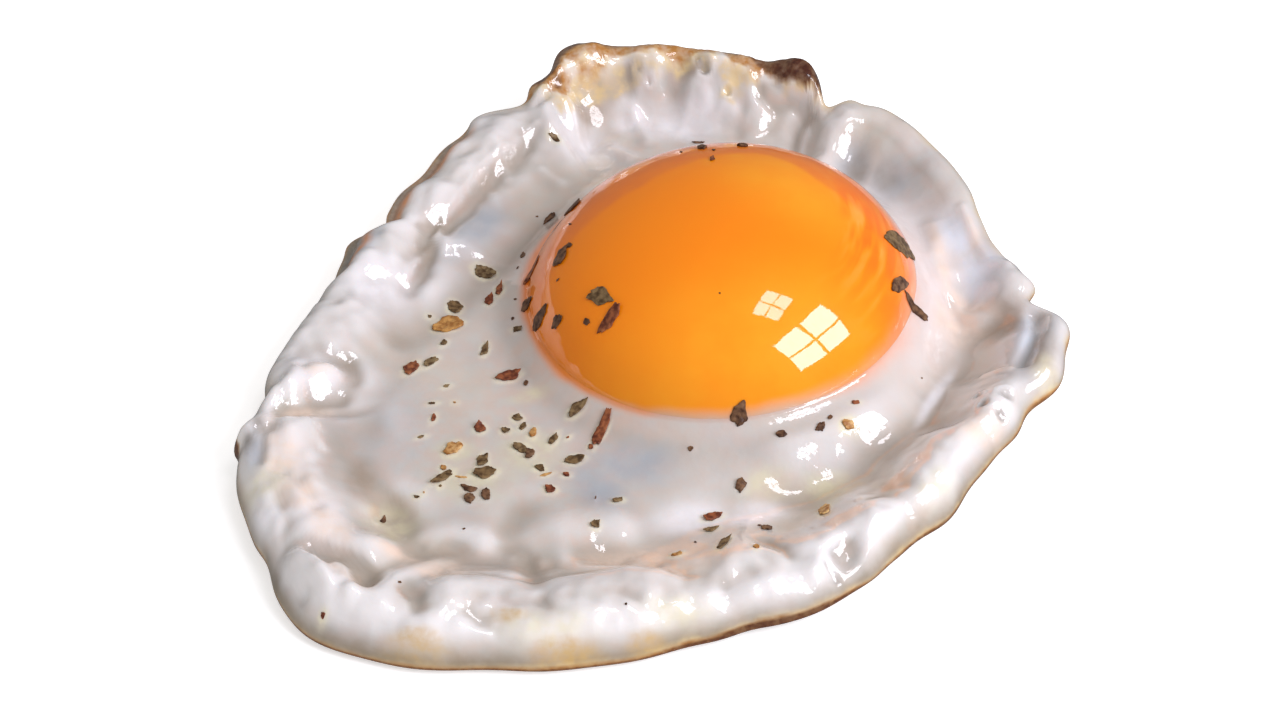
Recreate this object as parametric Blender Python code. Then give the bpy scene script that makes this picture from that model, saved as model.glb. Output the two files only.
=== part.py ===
"""A fried egg, sunny side up: the cooked white with its curled, folded rim, and the domed yolk that sits in
it.

Sizes are in millimetres, and each mesh is scaled to metres when it is finished. The egg lies on Z = 0 with
the origin in the middle of its base, and +Y points to the side whose rim is curled up and browned.
"""

import math

import bmesh
import bpy
import numpy as np
from mathutils import Matrix, Vector, noise

MM = 0.001

# The yolk: a dome over a flattened base, both round in plan. It leans, so it stands higher on the side where
# the white under it is thick, and a gap parts it from its seat in the white.
YOLK_CENTRE = (8.0, 7.0)
YOLK_RADIUS = 23.2
YOLK_WIDEST_AT = 4.6
YOLK_DOME = 14.8
YOLK_BASE = 3.3
LEAN = 0.07
LEAN_BEARING = 20.0
GAP = 0.3

# The white: how it climbs round the yolk, lies in the middle and rises in a wall to its rim. The wall is
# steeper where its lip is high, and where little room is left beside the flat.
CUFF_TOP = 6.0
CUFF_WIDTH = 1.6
COLLAR_HEIGHT = 4.9
COLLAR_WIDTH = 7.0
BASIN_HEIGHT = 3.7
LEAST_FLAT = 3.0
WALL_RUN = 16.0
NARROWEST_WALL_RUN = 8.0
WALL_STEEPENING = 1.6
LOW_LIP = 6.2
LIP_WIDTH = 1.0
LIP_SPREAD = 0.55
UNDERCUT_RUN = 7.0
UNDERCUT_CURVE = 1.35
THINNEST = 0.9
EDGE_ROUND = 1.2
FACE_BLEND = 0.8

# The thin skirt outside the left rim: from which bearing to which, over how many degrees it starts and ends,
# and how wide it is.
SKIRT = (134.0, 179.0)
SKIRT_STARTS_OVER = 5.0
SKIRT_ENDS_OVER = 4.0
SKIRT_WIDTH = 1.2

# Stations round the rim, as seen from the yolk's middle: bearing in degrees from +X, reach of the edge,
# height of the edge and height of the lip just inside it.
RIM = (
    (10, 33.8, 7.5, 8.5),
    (30, 35.2, 7.5, 8.8),
    (55, 38.4, 8.0, 9.2),
    (85, 41.2, 9.4, 10.9),
    (110, 46.0, 9.0, 10.8),
    (135, 45.2, 5.6, 7.4),
    (160, 44.4, 5.0, 7.2),
    (180, 48.8, 3.8, 7.0),
    (200, 58.6, 3.0, 7.0),
    (215, 65.6, 2.0, 6.8),
    (228, 70.0, 1.1, 6.8),
    (241, 65.8, 0.9, 6.2),
    (260, 56.6, 1.0, 6.2),
    (280, 50.6, 1.8, 6.2),
    (298, 45.6, 3.1, 6.9),
    (320, 41.8, 5.0, 8.1),
    (348, 42.2, 7.2, 9.4),
)

# Lobes and tucks of the rim: bearing and half width in degrees, and what each adds to the reach, to the
# edge's height and to the lip's height.
RIM_LOBES = (
    ("tuck in the right rim", 354, 3.2, -3.4, -0.4, -0.8),
    ("flat above the right tuck", 0.2, 3.0, -0.95, 0.0, 0.2),
    ("dip above that flat", 6, 2.4, -0.35, 0.0, 0.0),
    ("flat of the right rim", 343, 4.0, -0.9, 0.0, 0.0),
    ("flat below the bubbled lobe", 328, 4.0, -0.6, 0.0, 0.0),
    ("flat of the lower right rim", 311.5, 4.5, -0.8, 0.0, 0.0),
    ("notch beside the crust", 67.2, 3.0, -3.8, -0.8, -1.2),
    ("slack right of the notch", 61, 3.2, -1.4, 0.0, 0.0),
    ("dark knob of the crust", 74.8, 4.2, 0.9, 1.1, 1.9),
    ("slack left of the knob", 82, 2.6, -0.6, 0.0, -0.3),
    ("dips of the crust", 91, 3.0, -0.5, 0.0, 0.0),
    ("second dip of the crust", 102.3, 3.0, -0.8, 0.0, 0.0),
    ("end of the crust", 114, 5.5, 0.4, 0.8, 1.1),
    ("steep end of the crust", 118.8, 2.0, -1.5, 0.2, 0.2),
    ("tuck at the end of the crust", 124, 4.6, -2.8, -0.4, -0.8),
    ("lip left of that tuck", 122.4, 1.4, 0.9, 0.0, 0.0),
    ("second tuck of the far left rim", 136.5, 3.0, -0.8, 0.0, 0.0),
    ("slack of the left rim", 147, 8.0, -1.1, 0.0, 0.0),
    ("tuck before the frill", 163, 2.2, -1.4, 0.2, 0.2),
    ("frill of the left rim", 167, 3.0, 1.0, -0.4, -0.2),
    ("tuck after the frill", 176, 3.0, -0.6, 0.0, 0.0),
    ("flat of the upper left rim", 187, 4.0, -0.7, 0.0, 0.0),
    ("tuck above the left corner", 198.5, 3.0, -1.6, 0.0, 0.2),
    ("burnt nub of the left edge", 204.2, 0.8, 0.9, 0.5, 0.0),
    ("lobe of the left edge", 210.5, 5.0, 1.0, 0.0, 0.0),
    ("pinch under that lobe", 219.5, 2.6, -1.0, 0.3, -0.5),
    ("slack of the corner", 224, 5.0, -0.5, 0.0, 0.0),
    ("flat of the front edge", 248, 10.0, -0.5, 0.0, 0.0),
    ("dip of the front edge", 272.3, 3.5, -1.0, 0.0, 0.0),
    ("dip of the front right edge", 292.5, 2.6, -0.4, 0.0, 0.0),
)

# Folds of the white: the route of each one's middle line in plan, half its width, and how far it stands up
# or, below zero, sinks in. They fade out close to the edge and to the yolk. The routes are straight runs, so
# smooth noise makes them wander: over what size, and how far.
FOLDS_FADE_AT_EDGE = 2.5
FOLDS_FADE_AT_YOLK = 4.0
WANDER_SIZE = 8.0
WANDER = 2.0
WANDER_PATTERNS = (30.0, 30.5)
FOLDS = (
    ("roll along the far left rim", ((-17, 38), (-25, 27), (-31, 17), (-37, 7)), 2.3, 0.9),
    ("crease inside that roll", ((-15, 36), (-21, 28), (-26, 18), (-30, 9)), 1.3, -1.1),
    ("dale left of the yolk", ((-14, 21), (-22, 12), (-30, 3)), 3.2, -0.9),
    ("swell beside that dale", ((-20, 20), (-27, 9)), 2.6, 0.7),
    ("roll across the left rim", ((-46, -13.5), (-42, -11.5), (-38.5, -8)), 1.6, 0.8),
    ("crease under that roll", ((-44.5, -16), (-42, -15), (-37, -11)), 1.3, -1.0),
    ("step at the end of that roll", ((-37, -5.5), (-36, -8.5)), 1.4, -0.8),
    ("upper left bulge", ((-38, -1), (-35, 4)), 3.0, 0.8),
    ("left bulge", ((-41, -19), (-41, -29)), 4.0, 1.1),
    ("dent in the left edge", ((-45.6, -19.5), (-45.2, -23.5)), 1.5, -1.3),
    ("second dent of the left edge", ((-43, -30.5), (-41.5, -33)), 1.7, -0.8),
    ("step down into the basin", ((-34, -14), (-33, -21), (-31, -28)), 2.8, -0.4),
    ("valley above the corner fold", ((-43.5, -36.5), (-40.5, -36.3), (-37, -36.2)), 2.0, -1.0),
    ("corner fold", ((-40, -39.2), (-36.5, -41), (-33.5, -43.5)), 1.9, 1.4),
    ("hollow right of the corner fold", ((-35, -38.2), (-32, -41.2)), 1.8, -1.3),
    ("hollow of the corner", ((-31, -28), (-28, -31)), 3.2, -1.0),
    ("knuckle by the corner fold", ((-31, -35),), 2.8, 1.1),
    ("valley behind the knuckle", ((-31, -41), (-27, -36.5), (-23, -34)), 2.2, -0.7),
    ("curved front rib", ((-25, -37), (-29, -42), (-31, -46)), 1.6, 0.9),
    ("groove beside the rib", ((-25, -40), (-27, -43), (-26, -46)), 2.0, -0.6),
    ("front left bulge", ((-23, -42),), 3.8, 0.9),
    ("valley behind the front roll", ((-24, -37), (-14, -38), (-5, -35)), 2.8, -0.9),
    ("valley further right", ((-5, -34), (5, -31), (14, -28)), 3.6, -0.9),
    ("front roll", ((-20, -43), (-8, -42), (4, -40), (16, -37), (24, -32)), 3.4, 0.8),
    ("tongue of the front roll", ((-9, -36), (-4, -37.5)), 2.0, 0.7),
    ("dip across the front roll", ((-15, -37.5), (-13, -41)), 1.8, -0.7),
    ("second dip across the front roll", ((1, -36), (4, -40)), 1.8, -0.6),
    ("third dip across the front roll", ((12, -34.5), (14, -38)), 1.7, -0.6),
    ("first rise of the basin's front", ((-25, -32), (-20, -33)), 2.8, 0.7),
    ("second rise of the basin's front", ((-10, -31), (-5, -30)), 3.2, 0.8),
    ("gully between the rises", ((-16, -28), (-17, -34)), 2.0, -0.6),
    ("pit of the front rim", ((9, -43),), 1.6, -0.7),
    ("split in the front right rim", ((20, -37), (22, -41)), 1.1, -1.3),
    ("thick white in front of the yolk", ((17, -17.5), (23, -14)), 4.6, 1.1),
    ("valley inside the right rim", ((37, 4), (36, -6), (31, -15), (24, -21), (17, -25)), 3.4, -1.6),
    ("hollow below the right tuck", ((41, 1),), 2.8, -1.1),
    ("roll of the lower right rim", ((37, -18), (31, -26), (25, -33)), 2.4, 0.9),
    ("bubbled lobe on the right", ((39, -15.5),), 2.8, 1.1),
    ("dip of the upper right rim", ((25, 32), (25, 29)), 2.6, -0.6),
    ("second dip of the upper right rim", ((31, 28), (29, 25)), 2.4, -0.5),
    ("facet of the right rim", ((38.5, 13.5), (39, 8)), 2.6, -0.9),
    (
        "ridge beside that facet",
        ((33.7, 18.3), (34.5, 12.3), (35.8, 7.9), (37.1, 5.2), (40, 2.5)),
        1.2, 0.6,
    ),
    ("crease inside the right lip", ((45.6, 0.3), (45, -3), (43.8, -7), (42.6, -10)), 1.1, -1.2),
    ("valley down from the notch", ((20, 39), (18, 33)), 2.2, -1.5),
    ("shoulder right of the notch", ((23, 36), (20, 31)), 2.2, 0.9),
    ("crease inside the crust", ((-13, 41), (-9, 44), (-4, 46)), 1.2, -1.2),
    ("crease inside the dark knob", ((19, 39), (14, 43)), 1.3, -1.2),
    ("flap on the far wall", ((4, 42), (9, 41)), 1.6, 0.8),
    ("hollow of the far wall", ((-3, 44), (2, 45)), 2.0, -0.8),
    ("dimple of the far wall", ((-8, 39),), 3.0, -0.8),
)

# Ruffles all round the rim: how many to the full turn, how far they push the edge out and in, how far they
# lift and lower the lip, and where round the turn they start. They are fainter on the upper right: round
# which bearing, how far to each side, over how many degrees they come back, and by how much they fade.
CALM_MIDDLE = 30.0
CALM_REACH = 63.0
CALM_ENDS_OVER = 45.0
CALMED = 0.8
RUFFLES = (
    (13, 0.25, 0.30, 0.4),
    (21, 0.20, 0.30, 2.1),
    (34, 0.15, 0.20, 4.0),
)

# Flakes of dried herb, pepper and chilli: the place of each in plan, its length and width, and its direction
# in degrees from +X.
YOLK_FLAKES = (
    (-6.5, -2.0, 2.8, 1.7, -15),
    (-5.5, -5.5, 4.5, 2.0, 60),
    (-11.5, 6.5, 2.6, 1.4, 75),
    (-10.0, 17.0, 3.2, 1.5, 55),
    (28.7, 8.5, 5.0, 2.4, -58),
    (28.6, 1.9, 2.4, 2.2, -40),
    (-11.5, -1.5, 1.9, 1.0, 75),
    (-13.5, 1.5, 2.8, 1.0, 80),
    (-13.5, 10.5, 3.0, 1.1, 60),
)
WHITE_FLAKES = (
    (-9.5, -13.0, 3.0, 1.6, 50),
    (-6.5, -16.5, 4.6, 1.8, 70),
    (10.0, -18.2, 2.2, 1.8, 0),
    (-20.5, 11.5, 2.8, 1.6, -30),
    (-19.0, 8.5, 1.8, 0.9, 60),
    (-24.0, 5.5, 2.2, 1.6, 30),
    (-24.5, 2.5, 3.5, 1.4, 20),
    (-26.5, -4.0, 2.2, 1.0, 50),
    (-28.5, -5.5, 2.4, 1.3, 45),
    (-20.0, -2.0, 2.1, 1.0, 75),
    (-17.5, -6.5, 2.8, 1.4, 15),
    (-16.0, -14.0, 1.6, 1.0, 40),
    (-14.0, -16.5, 1.6, 1.0, 70),
    (-11.5, -17.5, 2.2, 0.9, 70),
    (-23.0, -18.5, 2.4, 1.4, 40),
    (-15.0, -19.5, 2.4, 1.2, -15),
    (-20.0, -22.0, 2.8, 2.0, 30),
    (-24.0, -23.5, 3.0, 1.0, 40),
    (-9.0, -21.0, 2.3, 1.1, 20),
    (-21.5, -26.5, 2.0, 1.4, 10),
    (-18.5, -26.5, 2.2, 1.2, 80),
    (9.5, -25.0, 2.2, 1.1, 70),
    (6.5, -31.0, 2.4, 1.2, 35),
    (6.0, -33.5, 1.6, 1.1, 0),
    (7.5, -36.0, 2.4, 1.1, 45),
    (12.5, -32.5, 1.6, 0.9, -10),
    (19.0, -30.0, 2.6, 1.2, 70),
    (22.0, -16.0, 1.8, 1.1, 55),
    (14.5, -18.0, 1.5, 0.9, 0),
    (19.0, -17.0, 1.4, 0.8, 70),
    (-7.0, -30.5, 1.5, 1.1, 30),
    (-12.5, 37.5, 1.5, 0.9, -30),
    (32.6, -0.8, 2.6, 1.5, -55),
)
FLAKE_SIDES = 6
FLAKE_TAPER = 0.8
FLAKE_STANDS = 0.4
FLAKE_SINKS = 0.5
FLAKE_RAGGEDNESS = 0.25
FLAKE_SEED = 7
SLOPE_STEP = 0.25

# Where the rings of the white's mesh lie: under the yolk, up its flank, across the top, round the rim by
# distance in from the edge, and back beneath.
WHITE_SEGMENTS = 128
RIM_SAMPLES = 3600
SEAT_RINGS = 7
FLANK_RINGS = 2
TOP_RINGS = 16
FIRST_TOP_RING = 0.8
LAST_TOP_GAP = 1.0
EDGE_INSETS = (3.4, 2.2, 1.2, 0.5, 0.12, 0.0)
BASE_INSETS = (1.2, 3.5, 7.0, 12.0)
BASE_RINGS = 2
YOLK_SEGMENTS = 48
YOLK_RINGS = 20

WHITE_COLOUR = (0.80, 0.77, 0.75)
WHITE_ROUGHNESS = 0.2
YOLK_COLOUR = (1.0, 0.28, 0.01)
YOLK_ROUGHNESS = 0.15


def smoothstep(value):
    value = np.clip(value, 0.0, 1.0)
    return value * value * (3.0 - 2.0 * value)


def rim(bearing, column):
    """One column of the rim's stations as a smooth closed curve round the yolk, with the lobes added."""
    stations = np.array(RIM, float)
    before, after = stations[-2:] - (360, 0, 0, 0), stations[:2] + (360, 0, 0, 0)
    stations = np.concatenate([before, stations, after])
    angles, values = stations[:, 0], stations[:, column]
    slopes = np.zeros(len(angles))
    slopes[1:-1] = (values[2:] - values[:-2]) / (angles[2:] - angles[:-2])
    here = np.searchsorted(angles, bearing, side="right") - 1
    span = angles[here + 1] - angles[here]
    t = (bearing - angles[here]) / span
    ease = smoothstep(t)
    curve = values[here] * (1.0 - ease) + values[here + 1] * ease
    curve += span * t * (1.0 - t) * (slopes[here] * (1.0 - t) - slopes[here + 1] * t)
    for _, middle, half_width, *rises in RIM_LOBES:
        away = (bearing - middle + 180.0) % 360.0 - 180.0
        curve += rises[column - 1] * np.exp(-((away / half_width) ** 2))
    away = (bearing - CALM_MIDDLE + 180.0) % 360.0 - 180.0
    ruffled = 1.0 - CALMED * smoothstep((CALM_REACH - np.abs(away)) / CALM_ENDS_OVER)
    for count, push, lift, start in RUFFLES:
        size = (push * ruffled, 0.0, lift * ruffled)[column - 1]
        curve += size * np.sin(np.radians(bearing) * count + start)
    return curve


def distance_to_route(x, y, route):
    """Distance in plan to a route of straight runs, or to a single place."""
    if len(route) == 1:
        return np.hypot(x - route[0][0], y - route[0][1])
    nearest = np.full(np.shape(x), np.inf)
    for (x0, y0), (x1, y1) in zip(route, route[1:]):
        dx, dy = x1 - x0, y1 - y0
        along = np.clip(((x - x0) * dx + (y - y0) * dy) / (dx * dx + dy * dy), 0.0, 1.0)
        nearest = np.minimum(nearest, np.hypot(x - x0 - along * dx, y - y0 - along * dy))
    return nearest


def swell(x, y, size, pattern):
    """Smooth noise from about -1 to 1, with swells of this size."""
    places = zip(np.ravel(x) / size, np.ravel(y) / size)
    return np.array([noise.noise((u, v, pattern)) for u, v in places]).reshape(np.shape(x))


def fold_relief(x, y):
    """How far the folds lift or lower each place, along routes that wander."""
    push_x, push_y = (WANDER * swell(x, y, WANDER_SIZE, pattern) for pattern in WANDER_PATTERNS)
    x, y = x + push_x, y + push_y
    relief = np.zeros(np.shape(x))
    for _, route, half_width, rise in FOLDS:
        relief += rise * np.exp(-((distance_to_route(x, y, route) / half_width) ** 2))
    return relief


def polar(x, y):
    """Bearing in degrees and distance from the yolk's middle of a place in plan."""
    across, along = x - YOLK_CENTRE[0], y - YOLK_CENTRE[1]
    return np.degrees(np.arctan2(along, across)) % 360.0, np.hypot(across, along)


def in_plan(bearing, out):
    """The place in plan at a bearing and a distance from the yolk's middle."""
    angle = np.radians(bearing)
    return YOLK_CENTRE[0] + out * np.cos(angle), YOLK_CENTRE[1] + out * np.sin(angle)


def lean(bearing, out):
    """How far the yolk's lean lifts a place on it, or on its seat."""
    return LEAN * out * np.cos(np.radians(bearing - LEAN_BEARING))


def yolk_top(bearing, out):
    """Height of the yolk's dome."""
    return YOLK_WIDEST_AT + YOLK_DOME * math.sqrt(1.0 - (out / YOLK_RADIUS) ** 2) + lean(bearing, out)


def quarter_round(part_way):
    """The rise of a quarter circle from 0 to 1, for a rounded edge."""
    return np.sqrt(1.0 - (1.0 - np.clip(part_way, 0.0, 1.0)) ** 2)


def higher(one, other, blend):
    """The higher of two faces, run into each other where they come within this height."""
    near = np.maximum(blend - np.abs(one - other), 0.0) / blend
    return np.maximum(one, other) + near * near * blend / 4.0


def skirt_width(bearing):
    starts = smoothstep((bearing - SKIRT[0]) / SKIRT_STARTS_OVER)
    ends = smoothstep((SKIRT[1] - bearing) / SKIRT_ENDS_OVER)
    return SKIRT_WIDTH * starts * ends


def white_top(bearing, out):
    """Height of the white's upper face outside the yolk."""
    reach, edge, lip = (rim(bearing, column) for column in (1, 2, 3))
    inset = np.maximum(reach - out, 0.0)
    beyond_yolk = np.maximum(out - YOLK_RADIUS, 0.0)
    lip_width = LIP_WIDTH + LIP_SPREAD * (lip - edge)
    widest_run = WALL_RUN - WALL_STEEPENING * (lip - LOW_LIP)
    run = np.clip(reach - YOLK_RADIUS - lip_width - LEAST_FLAT, NARROWEST_WALL_RUN, widest_run)
    collar = COLLAR_HEIGHT + lean(bearing, YOLK_RADIUS)
    sheet = BASIN_HEIGHT + (collar - BASIN_HEIGHT) * np.exp(-((beyond_yolk / COLLAR_WIDTH) ** 2))
    height = sheet + (lip - sheet) * smoothstep(1.0 - (inset - lip_width) / run)
    height += (CUFF_TOP - COLLAR_HEIGHT) * np.exp(-beyond_yolk / CUFF_WIDTH)
    room = smoothstep(inset / FOLDS_FADE_AT_EDGE) * smoothstep(beyond_yolk / FOLDS_FADE_AT_YOLK)
    height += fold_relief(*in_plan(bearing, out)) * room
    rounding = quarter_round((inset - skirt_width(bearing)) / lip_width)
    thinnest = white_under(bearing, out) + THINNEST * quarter_round(inset / EDGE_ROUND)
    return higher(edge + (height - edge) * rounding, thinnest, FACE_BLEND)


def white_under(bearing, out):
    """Height of the white's underside: flat in the middle and curled up towards the rim."""
    reach, edge = rim(bearing, 1), rim(bearing, 2)
    rise = np.clip(1.0 - (reach - out) / (UNDERCUT_RUN + edge), 0.0, 1.0)
    return edge * rise**UNDERCUT_CURVE


def white_rings(bearing):
    """Distance from the yolk's middle and height of each ring of the white at these bearings: the seat under
    the yolk, its flank, the top out to the rim, and the underside back to the middle."""
    level = np.ones(len(bearing))
    reach = rim(bearing, 1)
    seat_radius = YOLK_RADIUS + GAP
    rings = []
    for step in range(1, SEAT_RINGS + 1):
        angle = math.radians(90.0 * step / SEAT_RINGS)
        out = level * seat_radius * math.sin(angle)
        rings.append((out, YOLK_WIDEST_AT - (YOLK_BASE + GAP) * math.cos(angle) + lean(bearing, out)))
    for step in range(1, FLANK_RINGS + 1):
        rise = (CUFF_TOP - YOLK_WIDEST_AT) * step / FLANK_RINGS
        out = level * seat_radius * math.sqrt(1.0 - (rise / (YOLK_DOME + GAP)) ** 2)
        rings.append((out, YOLK_WIDEST_AT + rise + lean(bearing, out)))
    first, last = YOLK_RADIUS + FIRST_TOP_RING, reach - EDGE_INSETS[0] - LAST_TOP_GAP
    for step in range(TOP_RINGS):
        out = first + (last - first) * step / (TOP_RINGS - 1)
        rings.append((out, white_top(bearing, out)))
    for inset in EDGE_INSETS:
        rings.append((reach - inset, white_top(bearing, reach - inset)))
    for inset in BASE_INSETS:
        rings.append((reach - inset, white_under(bearing, reach - inset)))
    for step in range(BASE_RINGS, 0, -1):
        out = (reach - BASE_INSETS[-1]) * step / (BASE_RINGS + 1)
        rings.append((out, white_under(bearing, out)))
    return rings


def fuse_flakes(body, flakes, height_of, seed):
    """Joins a flake to the body at each place: a ragged little slab laid along the body's slope."""
    draw = np.random.default_rng(seed)
    loose = bpy.data.collections.new("flakes")
    bpy.context.scene.collection.children.link(loose)
    for x, y, length, width, direction in flakes:
        bearing, out = polar(x, y)
        slope = slope_at(height_of, bearing, out)
        shape = bmesh.new()
        slab = {"radius1": 0.5, "radius2": 0.5 * FLAKE_TAPER, "depth": FLAKE_STANDS + FLAKE_SINKS}
        bmesh.ops.create_cone(shape, cap_ends=True, segments=FLAKE_SIDES, **slab)
        corners = draw.uniform(1.0 - FLAKE_RAGGEDNESS, 1.0 + FLAKE_RAGGEDNESS, FLAKE_SIDES)
        for vertex in shape.verts:
            corner = round(math.atan2(vertex.co.y, vertex.co.x) / math.tau * FLAKE_SIDES) % FLAKE_SIDES
            vertex.co.x *= corners[corner] * length
            vertex.co.y *= corners[corner] * width
        turn = Matrix.Rotation(math.radians(direction), 4, "Z")
        lay = Vector((-slope[0], -slope[1], 1.0)).to_track_quat("Z", "Y").to_matrix().to_4x4()
        middle = float(height_of(bearing, out)) + (FLAKE_STANDS - FLAKE_SINKS) / 2.0
        place = Matrix.Translation((x, y, middle))
        bmesh.ops.transform(shape, matrix=place @ lay @ turn, verts=shape.verts)
        flake = finish_mesh(shape, "flake", body.data.materials[0])
        bpy.data.collections["fried_egg"].objects.unlink(flake)
        loose.objects.link(flake)
    union = body.modifiers.new("join flakes", "BOOLEAN")
    union.operation = "UNION"
    union.solver = "EXACT"
    union.operand_type = "COLLECTION"
    union.collection = loose
    joined = bpy.data.meshes.new_from_object(body.evaluated_get(bpy.context.evaluated_depsgraph_get()))
    body.modifiers.remove(union)
    body.data = joined
    for flake in list(loose.objects):
        bpy.data.objects.remove(flake)
    bpy.data.collections.remove(loose)


def slope_at(height_of, bearing, out):
    """How steeply a face rises along +X and +Y."""
    x, y = in_plan(bearing, out)
    rise_x = float(height_of(*polar(x + SLOPE_STEP, y)) - height_of(*polar(x - SLOPE_STEP, y)))
    rise_y = float(height_of(*polar(x, y + SLOPE_STEP)) - height_of(*polar(x, y - SLOPE_STEP)))
    return rise_x / (2.0 * SLOPE_STEP), rise_y / (2.0 * SLOPE_STEP)


def evenly_spaced_bearings():
    """Bearings closer together where the rim is far from the yolk, so that its steps are of even length."""
    turn = np.arange(RIM_SAMPLES) * 360.0 / RIM_SAMPLES
    passed = np.cumsum(rim(turn, 1))
    return np.interp(np.arange(WHITE_SEGMENTS) * passed[-1] / WHITE_SEGMENTS, passed, turn)


def make_white(material):
    """The white, from a sphere whose rings are laid from the seat, over the top and round to the base."""
    bearings = evenly_spaced_bearings()
    rings = white_rings(bearings)
    shape = bmesh.new()
    bmesh.ops.create_uvsphere(shape, u_segments=WHITE_SEGMENTS, v_segments=len(rings) + 1, radius=1.0)
    for vertex in shape.verts:
        ring = round(math.acos(max(-1.0, min(1.0, vertex.co.z))) / math.pi * (len(rings) + 1))
        if ring in (0, len(rings) + 1):
            vertex.co = (*YOLK_CENTRE, YOLK_WIDEST_AT - YOLK_BASE - GAP if ring == 0 else 0.0)
            continue
        around = round(math.degrees(math.atan2(vertex.co.y, vertex.co.x)) * WHITE_SEGMENTS / 360.0)
        around %= WHITE_SEGMENTS
        out, height = (values[around] for values in rings[ring - 1])
        vertex.co = (*in_plan(bearings[around], out), height)
    white = finish_mesh(shape, "egg_white", material)
    fuse_flakes(white, WHITE_FLAKES, white_top, FLAKE_SEED)
    return white


def make_yolk(material):
    """The yolk, from a sphere with a tall upper half and a flattened lower half."""
    shape = bmesh.new()
    bmesh.ops.create_uvsphere(shape, u_segments=YOLK_SEGMENTS, v_segments=YOLK_RINGS, radius=1.0)
    for vertex in shape.verts:
        vertex.co.z *= YOLK_DOME if vertex.co.z > 0.0 else YOLK_BASE
        bearing = math.degrees(math.atan2(vertex.co.y, vertex.co.x))
        vertex.co.z += lean(bearing, YOLK_RADIUS * vertex.co.xy.length)
    bmesh.ops.scale(shape, vec=(YOLK_RADIUS, YOLK_RADIUS, 1.0), verts=shape.verts)
    bmesh.ops.translate(shape, vec=(*YOLK_CENTRE, YOLK_WIDEST_AT), verts=shape.verts)
    yolk = finish_mesh(shape, "yolk", material)
    fuse_flakes(yolk, YOLK_FLAKES, yolk_top, FLAKE_SEED + 1)
    return yolk


def finish_mesh(shape, name, material):
    """The shape as a named object in metres, shaded smooth, in the egg's collection."""
    bmesh.ops.scale(shape, vec=(MM, MM, MM), verts=shape.verts)
    bmesh.ops.recalc_face_normals(shape, faces=shape.faces)
    mesh = bpy.data.meshes.new(name)
    shape.to_mesh(mesh)
    shape.free()
    mesh.shade_smooth()
    mesh.materials.append(material)
    made = bpy.data.objects.new(name, mesh)
    bpy.data.collections["fried_egg"].objects.link(made)
    return made


def plain_material(name, colour, roughness):
    material = bpy.data.materials.new(name)
    material.use_nodes = True
    shader = material.node_tree.nodes["Principled BSDF"]
    shader.inputs["Base Color"].default_value = (*colour, 1.0)
    shader.inputs["Roughness"].default_value = roughness
    return material


def main():
    for leftover in list(bpy.data.objects):
        bpy.data.objects.remove(leftover)
    bpy.context.scene.collection.children.link(bpy.data.collections.new("fried_egg"))
    make_white(plain_material("cooked_white", WHITE_COLOUR, WHITE_ROUGHNESS))
    make_yolk(plain_material("soft_yolk", YOLK_COLOUR, YOLK_ROUGHNESS))


main()
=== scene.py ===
import math

import bmesh
import bpy
import numpy as np
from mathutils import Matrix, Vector, noise


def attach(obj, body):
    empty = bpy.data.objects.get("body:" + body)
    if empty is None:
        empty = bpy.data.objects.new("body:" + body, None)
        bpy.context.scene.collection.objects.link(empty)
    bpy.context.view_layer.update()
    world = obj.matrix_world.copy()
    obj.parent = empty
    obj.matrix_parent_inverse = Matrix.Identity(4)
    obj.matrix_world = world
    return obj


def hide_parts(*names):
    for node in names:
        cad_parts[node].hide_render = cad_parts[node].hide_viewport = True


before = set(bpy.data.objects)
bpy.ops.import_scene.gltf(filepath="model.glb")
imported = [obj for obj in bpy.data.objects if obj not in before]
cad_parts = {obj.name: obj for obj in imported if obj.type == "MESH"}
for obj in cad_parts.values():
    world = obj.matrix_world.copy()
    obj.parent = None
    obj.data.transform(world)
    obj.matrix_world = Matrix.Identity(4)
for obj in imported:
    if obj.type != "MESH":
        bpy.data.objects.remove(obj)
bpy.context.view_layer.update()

# The cooked white.
# The white of one egg, set by the heat of the pan. It is thick and smooth round the yolk, then a thin sheet
# that the heat drew up into rolls and tucks, curled at the rim and browned in the fat along the far side.
# It is one closed sheet, laid out ring by ring round the yolk's middle, in millimetres until it is finished.
MM = 0.001

# Where the yolk sits, and how it leans towards the side where the white under it is thick.
YOLK_CENTRE = (8.0, 7.0)
YOLK_RADIUS = 23.2
YOLK_WIDEST_AT = 4.6
YOLK_DOME = 14.8
YOLK_BASE = 3.3
LEAN = 0.07
LEAN_BEARING = 20.0
GAP = 0.3

# How the white climbs round the yolk, lies in the middle and rises in a wall to its rim.
CUFF_TOP = 6.0
CUFF_WIDTH = 1.6
COLLAR_HEIGHT = 4.9
COLLAR_WIDTH = 7.0
BASIN_HEIGHT = 3.7
WALL_RUN = 16.0
NARROWEST_WALL_RUN = 8.0
WALL_STEEPENING = 1.6
LOW_LIP = 6.2
LIP_WIDTH = 1.0
LIP_SPREAD = 0.55
LEAST_FLAT = 3.0
UNDERCUT_RUN = 7.0
UNDERCUT_CURVE = 1.35

# The thin skirt outside the left rim: from which bearing to which, over how many degrees it starts and ends,
# and its width. Then the rim's least thickness, the width of its rounded edge, and the height over which two
# faces run into each other.
SKIRT = (134.0, 179.0, 5.0, 4.0)
SKIRT_WIDTH = 1.2
THINNEST = 0.9
EDGE_ROUND = 1.2
FACE_BLEND = 0.8

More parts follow.
